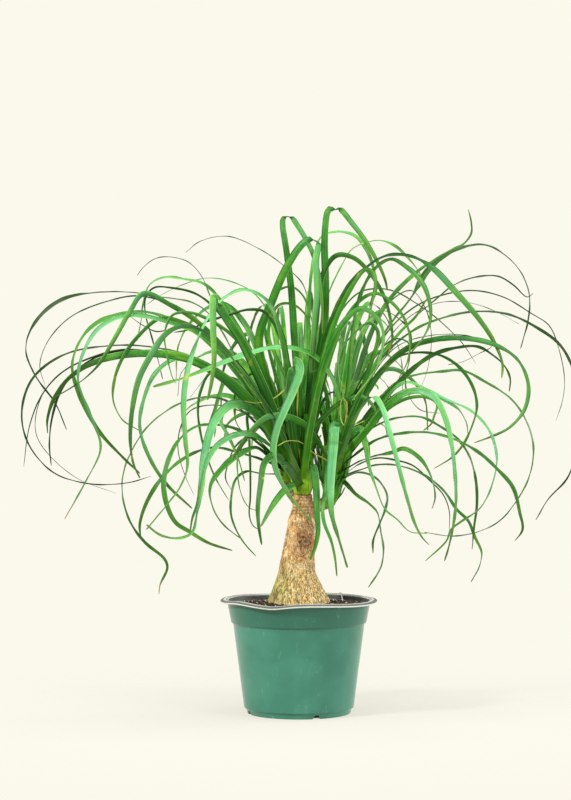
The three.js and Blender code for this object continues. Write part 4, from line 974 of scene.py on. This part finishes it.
# Leaves
def smooth_line(points, steps=12):
    """Points along the centripetal curve through the given ones."""
    points = np.asarray(points, float)
    p = np.vstack([2 * points[0] - points[1], points, 2 * points[-1] - points[-2]])
    gap = np.linalg.norm(np.diff(p, axis=0), axis=1) ** 0.5
    t = (np.arange(steps) / steps)[:, None]
    out = []
    for i in range(1, len(p) - 2):
        a, b, c, d = p[i - 1:i + 3]
        before, here, after = gap[i - 1:i + 2]
        leave = ((b - a) / before - (c - a) / (before + here) + (c - b) / here) * here
        arrive = ((c - b) / here - (d - b) / (here + after) + (d - c) / after) * here
        out.append(b + leave * t + (3 * (c - b) - 2 * leave - arrive) * t ** 2
                   + (2 * (b - c) + leave + arrive) * t ** 3)
    return np.vstack([*out, p[-2]])


def run_along(line):
    """How far each point of a line is from its start, along the line."""
    return np.concatenate([[0], np.cumsum(np.linalg.norm(np.diff(line, axis=0), axis=1))])


def spaced(line, count):
    """Evenly spaced places along a line of points."""
    run = run_along(line)
    goal = np.linspace(0, run[-1], count)
    return np.stack([np.interp(goal, run, line[:, k]) for k in range(3)], axis=1)


def base_of(head, towards):
    """A steep leaf starts higher in its head than a low one, a little to its own side."""
    way = np.asarray(towards, float) - HEADS[head]
    flat = math.hypot(way[0], way[1])
    steep = max(0.0, math.atan2(way[2], flat) / (math.pi / 2))
    return np.array(HEADS[head]) + (2 * way[0] / flat, 2 * way[1] / flat, 3 + 36 * steep ** 2)


def middle_line(head, depth, outline):
    """The points of an outline seen from the front, moved along the line of sight to their depth."""
    foot = HEADS[head]
    flat = np.array([(foot[0], foot[2])] + list(zip(outline[::2], outline[1::2])), float)
    run = run_along(flat)
    y = foot[1] + (depth - foot[1]) * (1 - (1 - run / run[-1]) ** DEPTH_POWER)
    scale = 1 - y / EYE[1]
    points = np.stack([EYE[0] + (flat[:, 0] - EYE[0]) * scale, y,
                       EYE[2] + (flat[:, 1] - EYE[2]) * scale], axis=1)
    points[0] = base_of(head, points[1])
    return points


def carried_along(ahead, points):
    """The direction of a blade's flat side, carried along its middle line without a turn."""
    far = points[np.argmax(np.hypot(*(points - points[0])[:, :2].T))] - points[0]
    side = np.array([-far[1], far[0], 0.0])
    sides = []
    for way in ahead:
        side = unit(side - way * (side @ way))
        sides.append(side)
    return np.array(sides)


def turns_to_front(ahead, side):
    """How far a blade would turn about its middle line, at each station, to lie square to the front. Either
    face may be to the front, so the turns follow each other by the nearest half turn."""
    front = np.array([0.0, -1, 0])
    front = front - ahead * (ahead @ front)[:, None]
    upper = np.cross(ahead, side)
    turns = np.degrees(np.arctan2(-(front * side).sum(axis=1), (front * upper).sum(axis=1)))
    turns = np.unwrap(turns, period=180)
    return turns - 180 * np.round(turns[FACING_STATION] / 180)


ACROSS = np.array([1, 0.5, 0, -0.5, -1, -0.5, 0, 0.5])
UPPER = np.array([1, 1, 1, 1, 1, 0, 0, 0])
UPPER_SIDES = np.array([1, 1, 1, 1, 0, 0, 0, 0])
FACTS = ("tone", "pale", "yellow", "dry", "slim")


class Foliage:
    """The blades of one piece, gathered into one mesh."""

    def __init__(self):
        self.points, self.faces = [], []
        self.values = {key: [] for key in ("along", "across", *FACTS)}
        self.upper = []
        self.count = 0

    def add(self, rings, along, across, upper, **facts):
        """A closed blade from its rings. Upper tells which of a ring's sides are on the blade's top, and
        the facts are one value for the whole blade, or one for each ring, and 0 where none is given."""
        count, sides = rings.shape[:2]
        last = self.count + (count - 1) * sides
        self.faces += [list(f) for f in ring_faces(count, sides, self.count)]
        self.faces.append([self.count + k for k in reversed(range(sides))])
        self.faces.append([last + k for k in range(sides)])
        self.upper += [*np.tile(upper, count - 1), 0, 0]
        self.points.append(rings.reshape(-1, 3))
        self.values["along"].append(np.repeat(along, sides))
        self.values["across"].append(np.tile(across, count))
        for key in FACTS:
            self.values[key].append(np.repeat(facts.get(key, 0) * np.ones(count), sides))
        self.count += count * sides

    def piece(self, name, material):
        values = {key: np.concatenate(rows) for key, rows in self.values.items()}
        piece = make_piece(name, np.vstack(self.points), self.faces, material, values, sharp=24)
        upper = piece.data.attributes.new("upper", "FLOAT", "FACE")
        upper.data.foreach_set("value", np.array(self.upper, np.float32))
        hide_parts("crown")


def add_blade(foliage, points, width, chance, looks, turns=None, fold=None, yellow=0.0, tone=0.4,
              pale=0.3, slim=0.0):
    """A strap leaf with a shallow channel, thin at its margins and wide where it clasps its head."""
    places = spaced(smooth_line(points), STATIONS)
    ahead = unit(np.vstack([places[1] - places[0], places[2:] - places[:-2], places[-1] - places[-2]]))
    side = carried_along(ahead, points)
    squares = turns_to_front(ahead, side)
    square = squares[FACING_STATION]
    hand = math.copysign(1, square)
    twist = TWIST * (2 * chance.draw() - 1)
    share = np.linspace(0, 1, STATIONS)
    if turns:
        roll = squares - hand * (90 - np.interp(share, np.linspace(0, 1, len(turns)), turns))
    else:
        roll = FACING * square * smoothstep(share, 0, 0.35) + twist * share
    if fold:
        roll = roll - 90 * hand * bell(share, fold, FOLD_SPREAD)
    roll = np.radians(roll)[:, None]
    side = side * np.cos(roll) + np.cross(ahead, side) * np.sin(roll)
    upper = np.cross(ahead, side)
    wide = width * lerp(TIP_SHARE, 1, (1 - share) ** TAPER)
    clasp = 1 - smoothstep(share, 0, CLASP_SHARE)
    wide = lerp(wide, np.maximum(wide, CLASP_WIDTH), clasp)
    length = np.linalg.norm(np.diff(places, axis=0), axis=1).sum()
    phase = looks.draw() * 2 * math.pi
    wave = 0.25 * np.sin(share * length / 7 + phase) + 0.2 * np.sin(share * length / 3.1 + 2 * phase)
    half = wide / 2
    trough = half * (CHANNEL + 0.45 * clasp)
    across = np.abs(ACROSS)
    level = -np.outer(trough, 1 - across ** 1.1) + np.outer(wave * (1 - clasp), across ** 2 * ACROSS)
    thick = np.outer(np.full(STATIONS, THICKNESS), (1 - 0.5 * across ** 2) * (1 - UPPER))
    rings = (places[:, None] + side[:, None] * (half[:, None] * ACROSS)[..., None]
             + upper[:, None] * (level - thick)[..., None])
    top = share[np.argmax(places[:, 2])]
    fallen = smoothstep(share, top - 0.12, top + 0.08)
    # painted shade: before its crest a blade's tone is lowered so that the rising part is darker, and after
    # it the painted sheen begins
    foliage.add(rings, share, ACROSS, UPPER_SIDES, yellow=yellow,
                tone=tone * lerp(0.6, 1, fallen) + 0.4 * (looks.draw() - 0.5),
                pale=(pale * lerp(0.7, 1, looks.draw()) * fallen
                      * (1 - 0.85 * smoothstep(share, 0.62, 0.95))),
                slim=slim, dry=1.0 if looks.draw() < 0.15 else 0.0)


def back_line(head, azimuth, apex, reach, drop):
    """A leaf that rises from its head, arches over at its apex and hangs to its tip."""
    foot = np.array(HEADS[head], float)
    way = np.array([math.cos(math.radians(azimuth)), math.sin(math.radians(azimuth))])
    rise = apex - foot[2]
    course = [
        (0.14, foot[2] + 0.45 * rise), (0.36, foot[2] + 0.86 * rise), (0.58, apex),
        (0.82, apex - 0.16 * drop), (0.97, apex - 0.5 * drop), (1, apex - drop),
    ]
    points = [(*(foot[:2] + reach * share * way), z) for share, z in course]
    return np.array([base_of(head, points[0]), *points])


def build_leaves(material):
    chance, looks = Chance(20261), Chance(4021)
    heads = {head: Foliage() for head in HEADS}
    for (head, width, depth, outline, *rest), letter in zip(FRONT_LEAVES, LOOKS, strict=True):
        yellow = 0.85 if width <= YELLOW_WIDTH and depth <= YELLOW_DEPTH else 0.0
        tone, pale, slim = LOOK_VALUES[letter]
        add_blade(heads[head], middle_line(head, depth, outline), width, chance, looks,
                  *rest, yellow=yellow, tone=tone, pale=pale, slim=slim * (1 - yellow))
    fans = list(BACK_FANS)
    for layer in BACK_LAYERS:
        for i in range(layer["count"]):
            head = fans[i % len(fans)]
            azimuth = chance.between(BACK_FANS[head])
            line = back_line(head, azimuth, *(chance.between(layer[k]) for k in ("apex", "reach", "drop")))
            add_blade(heads[head], line, chance.between(layer["width"]), chance, looks)
    for head, foliage in heads.items():
        foliage.piece(f"leaves_{HEAD_NAMES[head]}", material)
    young = Foliage()
    for head, foot in HEADS.items():
        for i in range(YOUNG_LEAVES):
            azimuth = 360 * (i + chance.draw()) / YOUNG_LEAVES
            line = back_line(head, azimuth, foot[2] + chance.between((85, 125)),
                             chance.between((30, 60)), chance.between((4, 20)))
            add_blade(young, line, chance.between((5, 8)), chance, looks, tone=0.8)
    young.piece("leaves_young", material)


# The lowest leaf base above each head's foot, and their number: those of R wrap its bent side stem too
CLASPS = {"L": (0, 30), "C": (0, 46), "R": (-24, 46)}
HIGHEST_CLASP = 26
CLASP_STEPS = 20
GOLDEN_ANGLE = 2.399963


def build_clasps(material):
    """The leaf bases that wrap the foot of each head, short pale ones and longer green ones in turn."""
    clasps = Foliage()
    looks = Chance(97)
    radii = np.array(CORE, float)
    sweep = np.linspace(-1, 1, 9)
    across = np.concatenate([sweep, sweep[::-1]])
    for head, foot in HEADS.items():
        lowest, count = CLASPS[head]
        for i in range(count):
            azimuth = i * GOLDEN_ANGLE + looks.draw() * 0.3
            long = i % 2 == 1
            low = lerp(lowest, HIGHEST_CLASP, i / count)
            rise = np.linspace(0, looks.between((48, 80) if long else (22, 34)), CLASP_STEPS)
            share = rise / rise[-1]
            reach = np.interp(low + rise, radii[:, 0], radii[:, 1]) + 0.6 + (16 if long else 5) * share ** 2
            half = looks.between((6.0, 7.5)) * (1 - 0.75 * share ** 1.3)
            half *= np.interp(share, [0, 0.12], [0.45, 1])
            slide = np.interp(low + rise, [-24, -16, -8, 0], [-8, -5, -0.5, 0])[:, None]
            spread = np.outer(half, sweep) / np.maximum(reach, 1)[:, None]
            lift = -1.6 * sweep[None] ** 2 * (1 - share)[:, None]
            height = low + rise[:, None] + lift
            outer, inner = (ring_at(azimuth + spread, reach[:, None] - deep, foot[2] + height,
                                    foot[0] + slide, foot[1]) for deep in (0, 0.7))
            rings = np.concatenate([outer, inner[:, ::-1]], axis=1)
            tone = looks.between((0.4, 0.95))
            along = share * (0.18 if long else 0.07) + (0.08 if low < -4 else 0)
            clasps.add(rings, along, across, np.ones(len(across)), tone=tone)
        heights = np.array([0, 2, 6, 12, 20, 30, 40, 46])
        reach = np.interp(heights, [0, 2, 8, 12, 30, 46], [7.5, 9.2, 10.6, 10.6, 9, 4])
        core = ring_at(circle(24), reach[:, None], foot[2] + heights[:, None], foot[0], foot[1])
        clasps.add(core, 0.02 + heights / 460, np.zeros(24), np.ones(24), tone=0.4)
    clasps.piece("leaf_bases", material)


# Stage, light and camera
FLOOR_ALBEDO, FLOOR_GLOW = 0.25, 1.4
FLOOR_RADIUS = 800
LIGHT_AIM = Vector((0, 0, 0.28))  # in metres, as the places of the lights are


def build_stage():
    """A pale floor that fades into the background away from the pot."""
    f = Finish("floor_cream")
    f.finish(tuple(FLOOR_ALBEDO * c for c in CREAM), 0.9, Specular_IOR_Level=0.1)
    glow = f.node("ShaderNodeEmission", {"Color": CREAM, "Strength": FLOOR_GLOW})
    both = f.node("ShaderNodeMixShader", {0: 0.5, 1: f.shader.outputs[0], 2: glow})
    clear = f.node("ShaderNodeBsdfTransparent", {})
    faded = f.node("ShaderNodeMixShader", {0: f.span(f.away((0, 0, 0)), 170, 520), 1: both, 2: clear})
    output = next(n for n in f.tree.nodes if n.type == "OUTPUT_MATERIAL")
    plug(f.tree, output.inputs["Surface"], faded)
    edge = ring_at(circle(96), FLOOR_RADIUS, 0)
    floor = add_object("floor", new_mesh("floor", edge, [range(len(edge))]))
    floor.data.materials.append(f.material)


def build_world():
    """Soft light from all round, in front of a cream background."""
    world = bpy.data.worlds.new("studio")
    world.use_nodes = True
    bpy.context.scene.world = world
    tree = world.node_tree
    lit = tree.nodes["Background"]
    plug(tree, lit.inputs["Color"], (1.0, 0.985, 0.94))
    plug(tree, lit.inputs["Strength"], 0.62)
    seen = add_node(tree, "ShaderNodeBackground", {"Color": CREAM})
    path = tree.nodes.new("ShaderNodeLightPath").outputs
    plain = add_node(tree, "ShaderNodeMath", {0: path["Is Camera Ray"], 1: path["Is Glossy Ray"]},
                     operation="MAXIMUM")
    mix = add_node(tree, "ShaderNodeMixShader", {0: plain, 1: lit.outputs[0], 2: seen})
    plug(tree, tree.nodes["World Output"].inputs[0], mix)


def add_light(name, place, size, power, colour=(1, 1, 1)):
    light = bpy.data.lights.new(name, "AREA")
    light.shape = "DISK"
    light.size = size
    light.energy = power
    light.color = colour
    lamp = add_object(name, light)
    lamp.location = place
    lamp.rotation_euler = (LIGHT_AIM - Vector(place)).to_track_quat("-Z", "Y").to_euler()


def build_lights():
    add_light("key", (-2.5, -1.9, 2.2), 0.6, 175, (1, 0.985, 0.93))
    add_light("fill", (2.2, -1.9, 1.2), 1.4, 60)
    add_light("rim", (2.7, 1.1, 1.1), 0.7, 40)
    add_light("top", (0.2, -0.3, 2.6), 1.0, 55)


def build_camera():
    data = bpy.data.cameras.new("camera")
    data.lens = 100.7
    data.sensor_width = 36
    data.clip_start, data.clip_end = 0.05, 50
    camera = add_object("camera", data)
    camera.location = [at * MM for at in EYE]
    camera.rotation_euler = (math.pi / 2, 0, 0)
    bpy.context.scene.camera = camera


build_camera()
build_world()
build_lights()
build_stage()
build_pot()
build_soil()
build_bits()
build_shoot()
bark_material = bark()
build_stem(bark_material)
for side_head in SIDE_STEMS:
    build_side_stem(side_head, bark_material)
leaf_material = leaf_green()
build_leaves(leaf_material)
build_clasps(leaf_material)
bpy.context.scene.view_settings.view_transform = "Standard"
